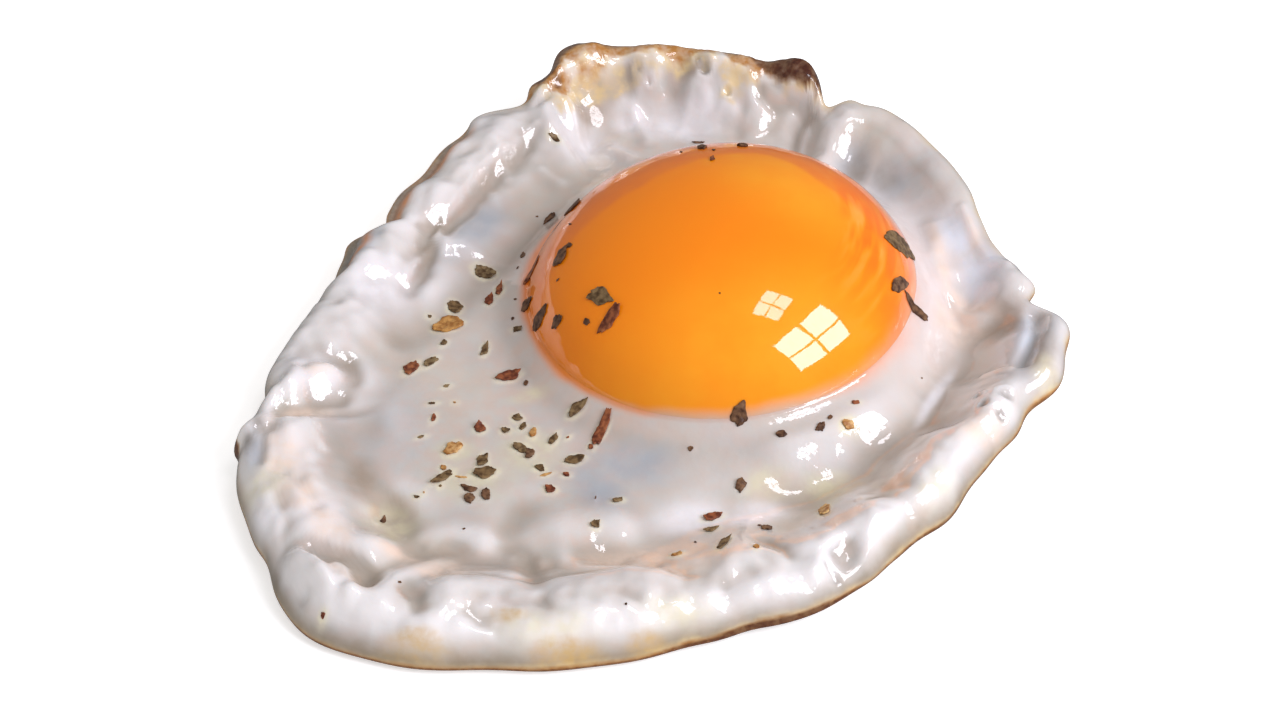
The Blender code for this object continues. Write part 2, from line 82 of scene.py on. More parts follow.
# Stations round the rim, as seen from the yolk's middle: bearing in degrees from +X, reach of the edge,
# height of the edge and height of the lip just inside it.
RIM = (
    (10, 33.8, 7.5, 8.5), (30, 35.2, 7.5, 8.8), (55, 38.4, 8, 9.2), (85, 41.2, 9.4, 10.9),
    (110, 46, 9, 10.8), (135, 45.2, 5.6, 7.4), (160, 44.4, 5, 7.2), (180, 48.8, 3.8, 7), (200, 58.6, 3, 7),
    (215, 65.6, 2, 6.8), (228, 70, 1.1, 6.8), (241, 65.8, 0.9, 6.2), (260, 56.6, 1, 6.2),
    (280, 50.6, 1.8, 6.2), (298, 45.6, 3.1, 6.9), (320, 41.8, 5, 8.1), (348, 42.2, 7.2, 9.4),
)

# Lobes and tucks of the rim: bearing and half width in degrees, and what each adds to the reach, to the
# edge's height and to the lip's height.
RIM_LOBES = (
    ("tuck in right rim", 354, 3.2, -3.4, -0.4, -0.8),
    ("flat above right tuck", 0.2, 3, -0.95, 0, 0.2),
    ("dip above that flat", 6, 2.4, -0.35, 0, 0),
    ("flat of right rim", 343, 4, -0.9, 0, 0),
    ("flat below bubbled lobe", 328, 4, -0.6, 0, 0),
    ("flat of lower right rim", 311.5, 4.5, -0.8, 0, 0),
    ("notch beside crust", 67.2, 3, -3.8, -0.8, -1.2),
    ("slack right of notch", 61, 3.2, -1.4, 0, 0),
    ("dark knob of crust", 74.8, 4.2, 0.9, 1.1, 1.9),
    ("slack left of knob", 82, 2.6, -0.6, 0, -0.3),
    ("dips of crust", 91, 3, -0.5, 0, 0),
    ("second dip of crust", 102.3, 3, -0.8, 0, 0),
    ("end of crust", 114, 5.5, 0.4, 0.8, 1.1),
    ("steep end of crust", 118.8, 2, -1.5, 0.2, 0.2),
    ("tuck at end of crust", 124, 4.6, -2.8, -0.4, -0.8),
    ("lip left of that tuck", 122.4, 1.4, 0.9, 0, 0),
    ("second tuck of far left rim", 136.5, 3, -0.8, 0, 0),
    ("slack of left rim", 147, 8, -1.1, 0, 0),
    ("tuck before frill", 163, 2.2, -1.4, 0.2, 0.2),
    ("frill of left rim", 167, 3, 1, -0.4, -0.2),
    ("tuck after frill", 176, 3, -0.6, 0, 0),
    ("flat of upper left rim", 187, 4, -0.7, 0, 0),
    ("tuck above left corner", 198.5, 3, -1.6, 0, 0.2),
    ("burnt nub of left edge", 204.2, 0.8, 0.9, 0.5, 0),
    ("lobe of left edge", 210.5, 5, 1, 0, 0),
    ("pinch under that lobe", 219.5, 2.6, -1, 0.3, -0.5),
    ("slack of corner", 224, 5, -0.5, 0, 0),
    ("flat of front edge", 248, 10, -0.5, 0, 0),
    ("dip of front edge", 272.3, 3.5, -1, 0, 0),
    ("dip of front right edge", 292.5, 2.6, -0.4, 0, 0),
)

# Ruffles all round the rim: how many to the full turn, how far they push the edge out and in, how far they
# lift and lower the lip, and where round the turn they start.
RUFFLES = (
    (13, 0.25, 0.30, 0.4), (21, 0.20, 0.30, 2.1), (34, 0.15, 0.20, 4),
)
# They are calmer on the upper right: round which bearing, how far to each side, over how many degrees they
# come back, and by how much they fade.
CALM_RIM = (30.0, 63.0, 45.0)
CALMED_RIM = 0.8

# Folds of the white: the route of each one's middle line in plan, half its width, and how far it stands up
# or, below zero, sinks in. They wander this far, by noise of this size, and fade out this close to the edge
# and to the yolk.
WANDER_SIZE = 8.0
WANDER = 2.0
WANDER_LAYERS = (30.0, 30.5)
FOLDS_FADE_AT_EDGE = 2.5
FOLDS_FADE_AT_YOLK = 4.0
FOLDS = (
    ("roll along far left rim", ((-17, 38), (-25, 27), (-31, 17), (-37, 7)), 2.3, 0.9),
    ("crease inside that roll", ((-15, 36), (-21, 28), (-26, 18), (-30, 9)), 1.3, -1.1),
    ("dale left of yolk", ((-14, 21), (-22, 12), (-30, 3)), 3.2, -0.9),
    ("swell beside that dale", ((-20, 20), (-27, 9)), 2.6, 0.7),
    ("roll across left rim", ((-46, -13.5), (-42, -11.5), (-38.5, -8)), 1.6, 0.8),
    ("crease under that roll", ((-44.5, -16), (-42, -15), (-37, -11)), 1.3, -1),
    ("step at end of that roll", ((-37, -5.5), (-36, -8.5)), 1.4, -0.8),
    ("upper left bulge", ((-38, -1), (-35, 4)), 3, 0.8),
    ("left bulge", ((-41, -19), (-41, -29)), 4, 1.1),
    ("dent in left edge", ((-45.6, -19.5), (-45.2, -23.5)), 1.5, -1.3),
    ("second dent of left edge", ((-43, -30.5), (-41.5, -33)), 1.7, -0.8),
    ("step down into basin", ((-34, -14), (-33, -21), (-31, -28)), 2.8, -0.4),
    ("valley above corner fold", ((-43.5, -36.5), (-40.5, -36.3), (-37, -36.2)), 2, -1),
    ("corner fold", ((-40, -39.2), (-36.5, -41), (-33.5, -43.5)), 1.9, 1.4),
    ("hollow right of corner fold", ((-35, -38.2), (-32, -41.2)), 1.8, -1.3),
    ("hollow of corner", ((-31, -28), (-28, -31)), 3.2, -1),
    ("knuckle by corner fold", ((-31, -35),), 2.8, 1.1),
    ("valley behind knuckle", ((-31, -41), (-27, -36.5), (-23, -34)), 2.2, -0.7),
    ("curved front rib", ((-25, -37), (-29, -42), (-31, -46)), 1.6, 0.9),
    ("groove beside rib", ((-25, -40), (-27, -43), (-26, -46)), 2, -0.6),
    ("front left bulge", ((-23, -42),), 3.8, 0.9),
    ("valley behind front roll", ((-24, -37), (-14, -38), (-5, -35)), 2.8, -0.9),
    ("valley further right", ((-5, -34), (5, -31), (14, -28)), 3.6, -0.9),
    ("front roll", ((-20, -43), (-8, -42), (4, -40), (16, -37), (24, -32)), 3.4, 0.8),
    ("tongue of front roll", ((-9, -36), (-4, -37.5)), 2, 0.7),
    ("dip across front roll", ((-15, -37.5), (-13, -41)), 1.8, -0.7),
    ("second dip across front roll", ((1, -36), (4, -40)), 1.8, -0.6),
    ("third dip across front roll", ((12, -34.5), (14, -38)), 1.7, -0.6),
    ("first rise of basin's front", ((-25, -32), (-20, -33)), 2.8, 0.7),
    ("second rise of basin's front", ((-10, -31), (-5, -30)), 3.2, 0.8),
    ("gully between rises", ((-16, -28), (-17, -34)), 2, -0.6),
    ("pit of front rim", ((9, -43),), 1.6, -0.7),
    ("split in front right rim", ((20, -37), (22, -41)), 1.1, -1.3),
    ("thick white in front of yolk", ((17, -17.5), (23, -14)), 4.6, 1.1),
    ("valley inside right rim", ((37, 4), (36, -6), (31, -15), (24, -21), (17, -25)), 3.4, -1.6),
    ("hollow below right tuck", ((41, 1),), 2.8, -1.1),
    ("roll of lower right rim", ((37, -18), (31, -26), (25, -33)), 2.4, 0.9),
    ("bubbled lobe on right", ((39, -15.5),), 2.8, 1.1),
    ("dip of upper right rim", ((25, 32), (25, 29)), 2.6, -0.6),
    ("second dip of upper right rim", ((31, 28), (29, 25)), 2.4, -0.5),
    ("facet of right rim", ((38.5, 13.5), (39, 8)), 2.6, -0.9),
    ("ridge beside that facet", ((33.7, 18.3), (34.5, 12.3), (35.8, 7.9), (37.1, 5.2), (40, 2.5)), 1.2, 0.6),
    ("crease inside right lip", ((45.6, 0.3), (45, -3), (43.8, -7), (42.6, -10)), 1.1, -1.2),
    ("valley down from notch", ((20, 39), (18, 33)), 2.2, -1.5),
    ("shoulder right of notch", ((23, 36), (20, 31)), 2.2, 0.9),
    ("crease inside crust", ((-13, 41), (-9, 44), (-4, 46)), 1.2, -1.2),
    ("crease inside dark knob", ((19, 39), (14, 43)), 1.3, -1.2),
    ("flap on far wall", ((4, 42), (9, 41)), 1.6, 0.8),
    ("hollow of far wall", ((-3, 44), (2, 45)), 2, -0.8),
    ("dimple of far wall", ((-8, 39),), 3, -0.8),
)

# Small marks in the surface, too fine for the solid: ridges, wrinkles, pinches and pits, given as the folds
# are, and craters, each with its place in plan and its radius.
FINE_FOLDS = (
    # Ridges, lips and bulges.
    (((-15, 38), (-21, 30.5), (-25.5, 21), (-30, 10)), 0.55, 0.45),
    (((-15.5, 41.5), (-12.5, 42.5)), 0.6, 0.6), (((6.8, 46.2), (8.6, 46), (12.2, 44)), 0.5, 0.5),
    (((37.5, 19.8), (38.7, 14.4), (40, 10.4), (42.2, 8.8)), 0.6, 0.4),
    (((38.4, -7.8), (41.2, -9)), 0.5, 0.35), (((-44.2, -19.3), (-43.9, -23.8)), 0.6, 0.45),
    (((-14.3, 42.4), (-11.8, 44.6), (-8.6, 46.4)), 0.8, 0.5),
    (((-39.6, -37.4), (-37.4, -40.4), (-35.8, -43.6)), 0.7, 0.4), (((16.4, 47.2), (19.6, 45.2)), 1.1, 0.45),
    # Creases, cracks and pinches.
    (((18.7, -38.8), (19.8, -40), (21, -41)), 0.45, -0.7),
    (((-14.6, 40.8), (-12, 43.2), (-9.4, 44.8), (-7.4, 45.5)), 0.55, -0.7),
    (((14.2, 44.2), (17.2, 41.6), (19.6, 40.6)), 0.6, -0.6), (((-44, -9.5), (-43, -13.5)), 0.7, -0.55),
    (((-41.2, -7.6), (-39.8, -11.6)), 0.7, -0.5),
    (((-24, -39.6), (-16, -40.4), (-8, -39.4), (0, -38)), 0.6, -0.35),
    # Wrinkles.
    (((-42.6, -38.4), (-40.6, -40.6), (-38.6, -43.2)), 0.8, -0.7),
    (((-38.4, -36.6), (-36, -39.6), (-34.4, -43)), 0.7, -0.6),
    (((-19.6, 33.4), (-18.4, 29.6)), 0.9, 0.4), (((-14, 31.6), (-11.6, 29.8)), 0.9, 0.4),
    (((-5.6, 37), (-3.2, 34.6)), 1, 0.45), (((-2.6, 42.6), (-0.8, 38.4)), 1, 0.45),
    (((5.2, 44.2), (6.6, 42.8)), 0.9, 0.4), (((9, 41.8), (11.4, 40)), 0.9, 0.4),
    (((-32.6, 17), (-31.4, 12)), 0.9, 0.4), (((-26.4, 19), (-25.6, 15.6)), 0.8, 0.35),
    (((-39.6, 7), (-35.8, 3.6)), 0.9, 0.35), (((-41.6, -2.6), (-40.2, -5)), 0.9, 0.35),
    (((-39.6, -22), (-38.4, -26.4)), 0.9, 0.35), (((-37.6, -42.4), (-36.2, -45.2)), 0.9, 0.35),
    (((-25, -34.2), (-22.8, -35.8)), 0.9, 0.35), (((-15.8, -35.4), (-13, -36.4)), 0.9, 0.35),
    (((-18.6, -45.6), (-15, -46.4)), 0.8, 0.3), (((-9.6, -47.4), (-7, -48.2)), 0.8, 0.3),
    (((-43.5, -24), (-40.5, -26), (-38, -30)), 0.7, -0.4),
    (((-40, -16.5), (-38, -20)), 0.6, 0.35),
    # Bubble, dents and pits.
    (((-13.6, 38),), 1.3, 0.5), (((-12.4, 36.6),), 0.7, -0.3), (((-30.8, -28.9),), 1, -0.5),
    (((18.6, 43.6),), 0.8, -0.45), (((-20.5, -46.5), (-17.5, -48.3)), 0.9, -0.5),
    (((-12.5, -44.8), (-9.5, -47.2)), 0.8, -0.45), (((-3.5, -43.6), (-0.5, -46.2)), 0.8, -0.45),
)
CRATERS = (
    (6.5, 45.4, 0.95), (9.3, 43, 0.6), (5.5, 46.4, 0.5), (-2, 46.3, 0.7), (-0.6, 45.2, 0.5),
    (-6.5, 47.4, 0.5), (40.2, -14.7, 1.2), (39.4, -17.4, 0.9), (37.6, -16, 0.8), (37.2, -13.8, 0.6),
)


def ease(value):
    """From 0 to 1 with a smooth start and a smooth end."""
    value = np.clip(value, 0.0, 1.0)
    return value * value * (3.0 - 2.0 * value)


def bell(away, width):
    """1 in the middle, falling off to both sides over this width."""
    return np.exp(-((away / width) ** 2))


def between(bearing, start, end, starts_over, ends_over):
    """1 from one bearing to another, coming and going over these degrees inside them."""
    return ease((bearing - start) / starts_over) * ease((end - bearing) / ends_over)


def degrees_from(bearing, middle):
    return np.abs((bearing - middle + 180.0) % 360.0 - 180.0)


def around(bearing, middle, reach, fade):
    """1 round a middle bearing, falling to 0 over these degrees up to this reach on each side."""
    return ease((reach - degrees_from(bearing, middle)) / fade)


def swell(across, along, size, layer):
    """Smooth noise from about -1 to 1, with swells of this size; each layer is a pattern of its own."""
    flat = zip(np.ravel(across) / size, np.ravel(along) / size)
    return np.array([noise.noise((u, v, layer)) for u, v in flat]).reshape(np.shape(across))


def rim(bearing, column):
    """One column of the rim's stations as a smooth closed curve round the yolk, with the lobes added."""
    stations = np.array(RIM, float)
    before, after = stations[-2:] - (360, 0, 0, 0), stations[:2] + (360, 0, 0, 0)
    stations = np.concatenate([before, stations, after])
    angles, values = stations[:, 0], stations[:, column]
    slopes = np.zeros(len(angles))
    slopes[1:-1] = (values[2:] - values[:-2]) / (angles[2:] - angles[:-2])
    here = np.searchsorted(angles, bearing, side="right") - 1
    span = angles[here + 1] - angles[here]
    t = (bearing - angles[here]) / span
    share = ease(t)
    curve = values[here] * (1.0 - share) + values[here + 1] * share
    curve += span * t * (1.0 - t) * (slopes[here] * (1.0 - t) - slopes[here + 1] * t)
    for _, middle, half_width, *rises in RIM_LOBES:
        curve += rises[column - 1] * bell(degrees_from(bearing, middle), half_width)
    ruffled = 1.0 - CALMED_RIM * around(bearing, *CALM_RIM)
    for count, push, lift, start in RUFFLES:
        size = (push * ruffled, 0.0, lift * ruffled)[column - 1]
        curve += size * np.sin(np.radians(bearing) * count + start)
    return curve


def distance_to_route(x, y, route):
    """Distance in plan to a route of straight runs, or to a single place."""
    if len(route) == 1:
        return np.hypot(x - route[0][0], y - route[0][1])
    nearest = np.full(np.shape(x), np.inf)
    for (x0, y0), (x1, y1) in zip(route, route[1:]):
        dx, dy = x1 - x0, y1 - y0
        along = np.clip(((x - x0) * dx + (y - y0) * dy) / (dx * dx + dy * dy), 0.0, 1.0)
        nearest = np.minimum(nearest, np.hypot(x - x0 - along * dx, y - y0 - along * dy))
    return nearest


def fold_relief(x, y, folds):
    relief = np.zeros(np.shape(x))
    for *_, route, half_width, rise in folds:
        relief += rise * bell(distance_to_route(x, y, route), half_width)
    return relief


def polar(x, y):
    """Bearing in degrees and distance from the yolk's middle of a place in plan."""
    across, along = x - YOLK_CENTRE[0], y - YOLK_CENTRE[1]
    return np.degrees(np.arctan2(along, across)) % 360.0, np.hypot(across, along)


def in_plan(bearing, out):
    """The place in plan at a bearing and a distance from the yolk's middle."""
    angle = np.radians(bearing)
    return YOLK_CENTRE[0] + out * np.cos(angle), YOLK_CENTRE[1] + out * np.sin(angle)


def lean(bearing, out):
    """How far the yolk's lean lifts a place on it, or on its seat."""
    return LEAN * out * np.cos(np.radians(bearing - LEAN_BEARING))


def higher(one, other, blend):
    """The higher of two faces, run into each other where they come within this height."""
    near = np.maximum(blend - np.abs(one - other), 0.0) / blend
    return np.maximum(one, other) + near * near * blend / 4.0


def quarter_round(part_way):
    """The rise of a quarter circle from 0 to 1, for a rounded edge."""
    return np.sqrt(1.0 - (1.0 - np.clip(part_way, 0.0, 1.0)) ** 2)


def white_top(bearing, out):
    """Height of the white's upper face outside the yolk, without its fine relief."""
    reach, edge, lip = (rim(bearing, column) for column in (1, 2, 3))
    inset = np.maximum(reach - out, 0.0)
    beyond_yolk = np.maximum(out - YOLK_RADIUS, 0.0)
    lip_width = LIP_WIDTH + LIP_SPREAD * (lip - edge)
    widest_run = WALL_RUN - WALL_STEEPENING * (lip - LOW_LIP)
    run = np.clip(reach - YOLK_RADIUS - lip_width - LEAST_FLAT, NARROWEST_WALL_RUN, widest_run)
    collar = COLLAR_HEIGHT + lean(bearing, YOLK_RADIUS)
    sheet = BASIN_HEIGHT + (collar - BASIN_HEIGHT) * bell(beyond_yolk, COLLAR_WIDTH)
    height = sheet + (lip - sheet) * ease(1.0 - (inset - lip_width) / run)
    height += (CUFF_TOP - COLLAR_HEIGHT) * np.exp(-beyond_yolk / CUFF_WIDTH)
    x, y = in_plan(bearing, out)
    push_x, push_y = (WANDER * swell(x, y, WANDER_SIZE, layer) for layer in WANDER_LAYERS)
    room = ease(inset / FOLDS_FADE_AT_EDGE) * ease(beyond_yolk / FOLDS_FADE_AT_YOLK)
    height += fold_relief(x + push_x, y + push_y, FOLDS) * room
    skirt = SKIRT_WIDTH * between(bearing, *SKIRT)
    rounding = quarter_round((inset - skirt) / lip_width)
    thinnest = white_under(bearing, out) + THINNEST * quarter_round(inset / EDGE_ROUND)
    return higher(edge + (height - edge) * rounding, thinnest, FACE_BLEND)


def white_under(bearing, out):
    """Height of the white's underside: flat in the middle and curled up towards the rim."""
    reach, edge = rim(bearing, 1), rim(bearing, 2)
    rise = np.clip(1.0 - (reach - out) / (UNDERCUT_RUN + edge), 0.0, 1.0)
    return edge * rise**UNDERCUT_CURVE


# Flakes that lie on the egg: place in plan, length, width and direction of each, in degrees.
FLAKES = {
    "herb": (
        (-20.8, 13.7, 2.9, 2.1, -19), (-24.1, 7.1, 2.4, 1.8, -82), (-27, 5.2, 0.5, 0.4, -23),
        (-16.4, 1.9, 1.2, 0.8, -32), (-6.4, -2.3, 4, 1.6, -37), (-12.5, 36.4, 1.6, 0.9, -28),
        (-25.1, 0.3, 1.2, 0.7, 68), (-20.2, -0.8, 2.2, 1, 77), (-26.5, -3.3, 2.3, 1, 54),
        (-24.5, -7.5, 0.7, 0.5, 22), (-26, -10.4, 0.8, 0.4, 8), (-27, -16.1, 0.9, 0.4, 24),
        (-16, -12.9, 1.4, 1.2, -65), (-15.4, -14.5, 1, 0.8, 51), (-17.3, -15, 1.1, 1, -42),
        (-11.7, -16.5, 2.2, 0.9, 68), (-15.4, -18.1, 2.4, 1.5, -39), (-19.8, -20.1, 2.3, 1.3, 85),
        (-19.6, -22.1, 2.9, 1.8, 5), (-24.3, -22.9, 3, 1.1, 41), (-24.5, -24.4, 0.4, 0.3, 54),
        (-27.1, -26, 0.7, 0.4, -27), (-13.3, -21.4, 1.3, 1.1, -27), (-9.3, -19.9, 2.3, 1.5, 19),
        (-8.9, -11.7, 3.1, 1.7, 45), (-6.8, -31.1, 1.2, 1, 53), (-4.3, -26.8, 1.3, 0.7, 20),
        (6.2, -31, 1.6, 1, 20), (7.5, -34.9, 3.2, 1.3, 64), (29.1, 8.6, 4.9, 2.9, 52),
    ),
    "pepper": (
        (-13.8, 0.9, 2.3, 1.9, 87), (-11.5, -1.8, 1.8, 1.2, -46), (-8, -4.4, 0.9, 0.6, -37),
        (-15.4, 5, 1.7, 1.4, 76), (-17, 3.9, 0.5, 0.4, -79), (-16.8, 7.2, 0.4, 0.3, -45),
        (-16.7, 13.5, 0.6, 0.3, 89), (-16.1, 16.2, 1.2, 0.6, 84), (-11.2, 6.6, 2.6, 1.6, 70),
        (-10.2, 7.6, 1, 0.6, -61), (-11.5, 3.3, 0.4, 0.4, -58), (-9.9, 17.8, 3.4, 1.6, 55),
        (-13, 23, 1.8, 0.9, 45), (-10.2, 12.2, 0.9, 0.3, -67), (-14.5, 23.7, 0.4, 0.3, -5),
        (-15.2, -6.8, 0.9, 0.6, -86), (-14.5, -19.1, 1.6, 1.3, 68), (-21.2, -24.7, 2.1, 0.9, -28),
        (-21.2, -26.4, 1.5, 1.5, -70), (-19.3, -25.7, 1.9, 1.3, 87), (-30.8, -28.9, 1.7, 0.6, 73),
        (-21.5, -31.6, 0.4, 0.3, 23), (-6.8, -26.3, 0.6, 0.2, 88), (-28.1, -42, 0.5, 0.3, 50),
        (9.7, -16, 2.1, 1.8, 63), (14.4, -17.9, 1.3, 1, 2), (4, -19, 0.7, 0.6, -10),
        (9.7, -24.2, 1.7, 1.2, 74), (12.4, -31.4, 1.4, 1.2, -37), (11.7, -30.7, 0.5, 0.4, -37),
        (19, -17, 1.5, 0.9, 59), (20.1, -15.6, 0.7, 0.5, 67), (31.2, -7.5, 0.3, 0.2, 51),
        (4.4, -33.6, 0.5, 0.3, -78), (-3.3, -45.8, 0.3, 0.3, 5), (28.8, 1.8, 4.4, 1.4, 56),
        (30.9, 1.1, 3.4, 1.4, -18), (5.7, 21.7, 1.8, 1.3, -75), (5.7, 37.7, 1.6, 0.5, 4),
        (10.6, 21.8, 1.6, 1.4, -56), (7.1, 20.3, 0.7, 0.4, -84), (3.2, 21.3, 0.9, 0.3, -79),
        (7.4, -5.7, 0.3, 0.2, -83),
    ),
    "chilli": (
        (-18.8, 10, 2.3, 1.1, 84), (-19.9, 8.1, 1.6, 1, 82), (-15, 10.5, 3.4, 1, 60),
        (-5.3, -5.7, 3.1, 2, 38), (-28.7, -4.3, 2.5, 1.5, 55), (-17.3, -5.6, 2.9, 1.7, 24),
        (-25.8, -13, 1.3, 0.6, 77), (-20.3, -14.7, 1.5, 1.3, -85), (-10.1, -16.2, 0.5, 0.3, 50),
        (-10.2, -22.4, 0.9, 0.7, -1), (-12, -24.9, 1.4, 1.1, -28), (-6.2, -15.3, 4.9, 1.3, 65),
        (-7.4, -17.9, 0.8, 0.7, -86), (-36.4, -45.7, 0.5, 0.4, -4), (6.4, -28.6, 2.3, 1.1, 21),
        (23.1, -13.3, 1, 0.5, 10), (6.8, 17.3, 1.3, 0.7, 82),
    ),
    "golden": (
        (-24.8, 3.8, 3.7, 2.6, 14), (-23.4, -10.3, 0.4, 0.3, -34), (-14.2, -15.5, 1.7, 1, 82),
        (-23.3, -18.1, 2.6, 1.7, 60), (-24.2, -21.4, 0.9, 0.7, -53), (-22.2, -22.8, 1.8, 0.3, -7),
        (-26.3, -25.4, 0.3, 0.2, -81), (-12.5, -22.4, 1.2, 0.4, 21), (18.9, -29.2, 2.6, 1.2, 74),
        (11.1, -36.6, 1.4, 0.7, 84), (22.1, -16.2, 1.7, 1.2, 45), (2.3, -35.7, 1.3, 0.8, 9),
    ),
}


def from_oval(x, y, across, along, length, width, turn):
    """How far each place is from the middle of a turned oval, counted in its length and width."""
    cosine, sine = math.cos(math.radians(turn)), math.sin(math.radians(turn))
    u = ((x - across) * cosine + (y - along) * sine) / length
    v = ((y - along) * cosine - (x - across) * sine) / width
    return np.hypot(u, v)


def near_flakes(x, y, kinds, reach):
    """1 at the outline of any flake of these kinds, falling off over this reach."""
    nearest = np.full(np.shape(x), np.inf)
    for kind in kinds:
        for flake in FLAKES[kind]:
            size = math.sqrt(flake[2] * flake[3])
            nearest = np.minimum(nearest, np.abs(from_oval(x, y, *flake) - 0.5) * size)
    return bell(nearest, reach)


# The fine relief of the white. Swells: how high all over, how much more on the walls and where the white is
# crinkled, of what size, and which pattern of noise.
SWELLS = (
    (0.14, 0.38, 0, 7, 1), (0.045, 0.34, 0, 3.4, 2), (0.01, 0.11, 0.14, 1.7, 3), (0, 0, 0.18, 3, 14),
)
WALL_WIDTH = 12.0
WALL_STARTS_AT = 2.0
CRINKLES_START_AT = 4.0
# On the right the walls are calmer and the white isn't crinkled: bearing, reach and fade, as for the rim.
CALM_WALL = (15.0, 78.0, 60.0)
CALMED_WALL = 0.85
UNCRINKLED = (15.0, 70.0, 50.0)
# Ribs run down the walls: their height, size, length to the full turn and squeeze across the wall.
RIB = 0.03
RIB_SIZE = 2.6
RIB_TURN = 30.0
RIB_SQUEEZE = 0.35
# Blisters in the crust: from which bearing to which, their height, size, and the width they fill.
CRUST_BEARINGS = (68.0, 122.0, 3.0, 3.0)
BLISTER = 0.22
BLISTER_SIZE = 1.3
BLISTERED_TO = 2.5
# The white is drawn up to each flake. A crater has a raised ring and a pit: height and width in its radius.
DRAWN_UP = 0.07
DRAWN_UP_REACH = 0.4
CRATER_RING = (0.30, 0.35)
CRATER_PIT = (0.45, 0.75)
# A smooth pool in front of the yolk, and how close to the edge and the yolk the fine relief fades out.
POOL = (20.5, -17.0)
POOL_RADIUS = 8.0
POOL_SMOOTHED = 0.8
FADE_AT_EDGE = 1.2
FADE_AT_YOLK = 3.0


def fine_relief(bearing, out):
    x, y = in_plan(bearing, out)
    inset = rim(bearing, 1) - out
    wall = ease(1.0 - (inset - WALL_STARTS_AT) / WALL_WIDTH)
    wall *= 1.0 - CALMED_WALL * around(bearing, *CALM_WALL)
    crinkled = ease(1.0 - (inset - CRINKLES_START_AT) / WALL_WIDTH)
    crinkled *= 1.0 - around(bearing, *UNCRINKLED)
    relief = np.zeros(np.shape(x))
    for even, on_walls, on_crinkled, size, layer in SWELLS:
        relief += (even + on_walls * wall + on_crinkled * crinkled) * swell(x, y, size, layer)
    relief += RIB * wall * swell(np.radians(bearing) * RIB_TURN, inset * RIB_SQUEEZE, RIB_SIZE, 4.0)
    blistered = between(bearing, *CRUST_BEARINGS) * ease(1.0 - (inset - BLISTERED_TO) / 2.0)
    relief += BLISTER * blistered * np.abs(swell(x, y, BLISTER_SIZE, 5.0))
    relief += fold_relief(x, y, FINE_FOLDS)
    relief += DRAWN_UP * near_flakes(x, y, FLAKES, DRAWN_UP_REACH)
    for across, along, radius in CRATERS:
        away = np.hypot(x - across, y - along) / radius
        relief += CRATER_RING[0] * bell(away - 1.0, CRATER_RING[1])
        relief -= CRATER_PIT[0] * bell(away, CRATER_PIT[1])
    relief *= 1.0 - POOL_SMOOTHED * bell(np.hypot(x - POOL[0], y - POOL[1]), POOL_RADIUS)
    return relief * ease(inset / FADE_AT_EDGE) * ease((out - YOLK_RADIUS - GAP) / FADE_AT_YOLK)


# The yolk's dome falls off this steeply past its radius. The white is drawn up to it this high over this
# width, and the two run into each other where they come within this height.
DOME_FALL = 8.0
MENISCUS = 1.0
MENISCUS_WIDTH = 2.4
FILM_BLEND = 3.4


def skin_top(bearing, out):
    """Height of the egg's upper face, where the yolk's dome and the white lie under one film."""
    out = np.asarray(out, float)
    inside = np.sqrt(np.maximum(1.0 - (out / YOLK_RADIUS) ** 2, 0.0))
    beyond = np.maximum(out - YOLK_RADIUS, 0.0)
    dome = YOLK_WIDEST_AT + YOLK_DOME * inside + lean(bearing, out) - DOME_FALL * beyond
    white = white_top(bearing, out) + MENISCUS * bell(beyond, MENISCUS_WIDTH)
    return higher(dome, white + fine_relief(bearing, out), FILM_BLEND)


def grid_mesh(name, across, along):
    """A flat square mesh 3 m wide, of this many cells."""
    shape = bmesh.new()
    bmesh.ops.create_grid(shape, x_segments=across, y_segments=along, size=1.5)
    mesh = bpy.data.meshes.new(name)
    shape.to_mesh(mesh)
    shape.free()
    return mesh


def lay_on_rings(name, bearings, rings):
    """A grid bent onto rings round the yolk's middle, each with its distance out and its height, from a point
    at one end to a point at the other; also each vertex's ring, step, bearing and distance out, and the
    heights of the rings."""
    count = len(bearings)
    level = np.ones(count)
    outs, heights = (np.array([level * ring[part] for ring in rings]) for part in (0, 1))
    laid = np.stack([*in_plan(bearings, outs), heights], axis=2)
    laid = np.concatenate([laid, laid[:, :1]], axis=1) * MM
    mesh = grid_mesh(name, count, len(rings) - 1)
    mesh.vertices.foreach_set("co", laid.astype(np.float32).ravel())
    ring, step = np.divmod(np.arange(len(mesh.vertices)), count + 1)
    step %= count
    return mesh, ring, step, bearings[step], outs[ring, step], heights


def put_in_scene(name, data):
    made = bpy.data.objects.new(name, data)
    bpy.context.scene.collection.objects.link(made)
    return made


def as_piece(mesh, material):
    """The mesh, closed along its seam, as a piece of the egg that rides on the egg's one body."""
    shape = bmesh.new()
    shape.from_mesh(mesh)
    bmesh.ops.remove_doubles(shape, verts=shape.verts, dist=1e-7)
    bmesh.ops.recalc_face_normals(shape, faces=shape.faces)
    shape.to_mesh(mesh)
    shape.free()
    mesh.shade_smooth()
    made = put_in_scene(mesh.name, mesh)
    mesh.materials.append(material)
    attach(made, "root")
    return made


def paint(mesh, name, values):
    """Keeps one number for each vertex, for the material to read."""
    mesh.attributes.new(name, "FLOAT", "POINT").data.foreach_set("value", values.astype(np.float32))


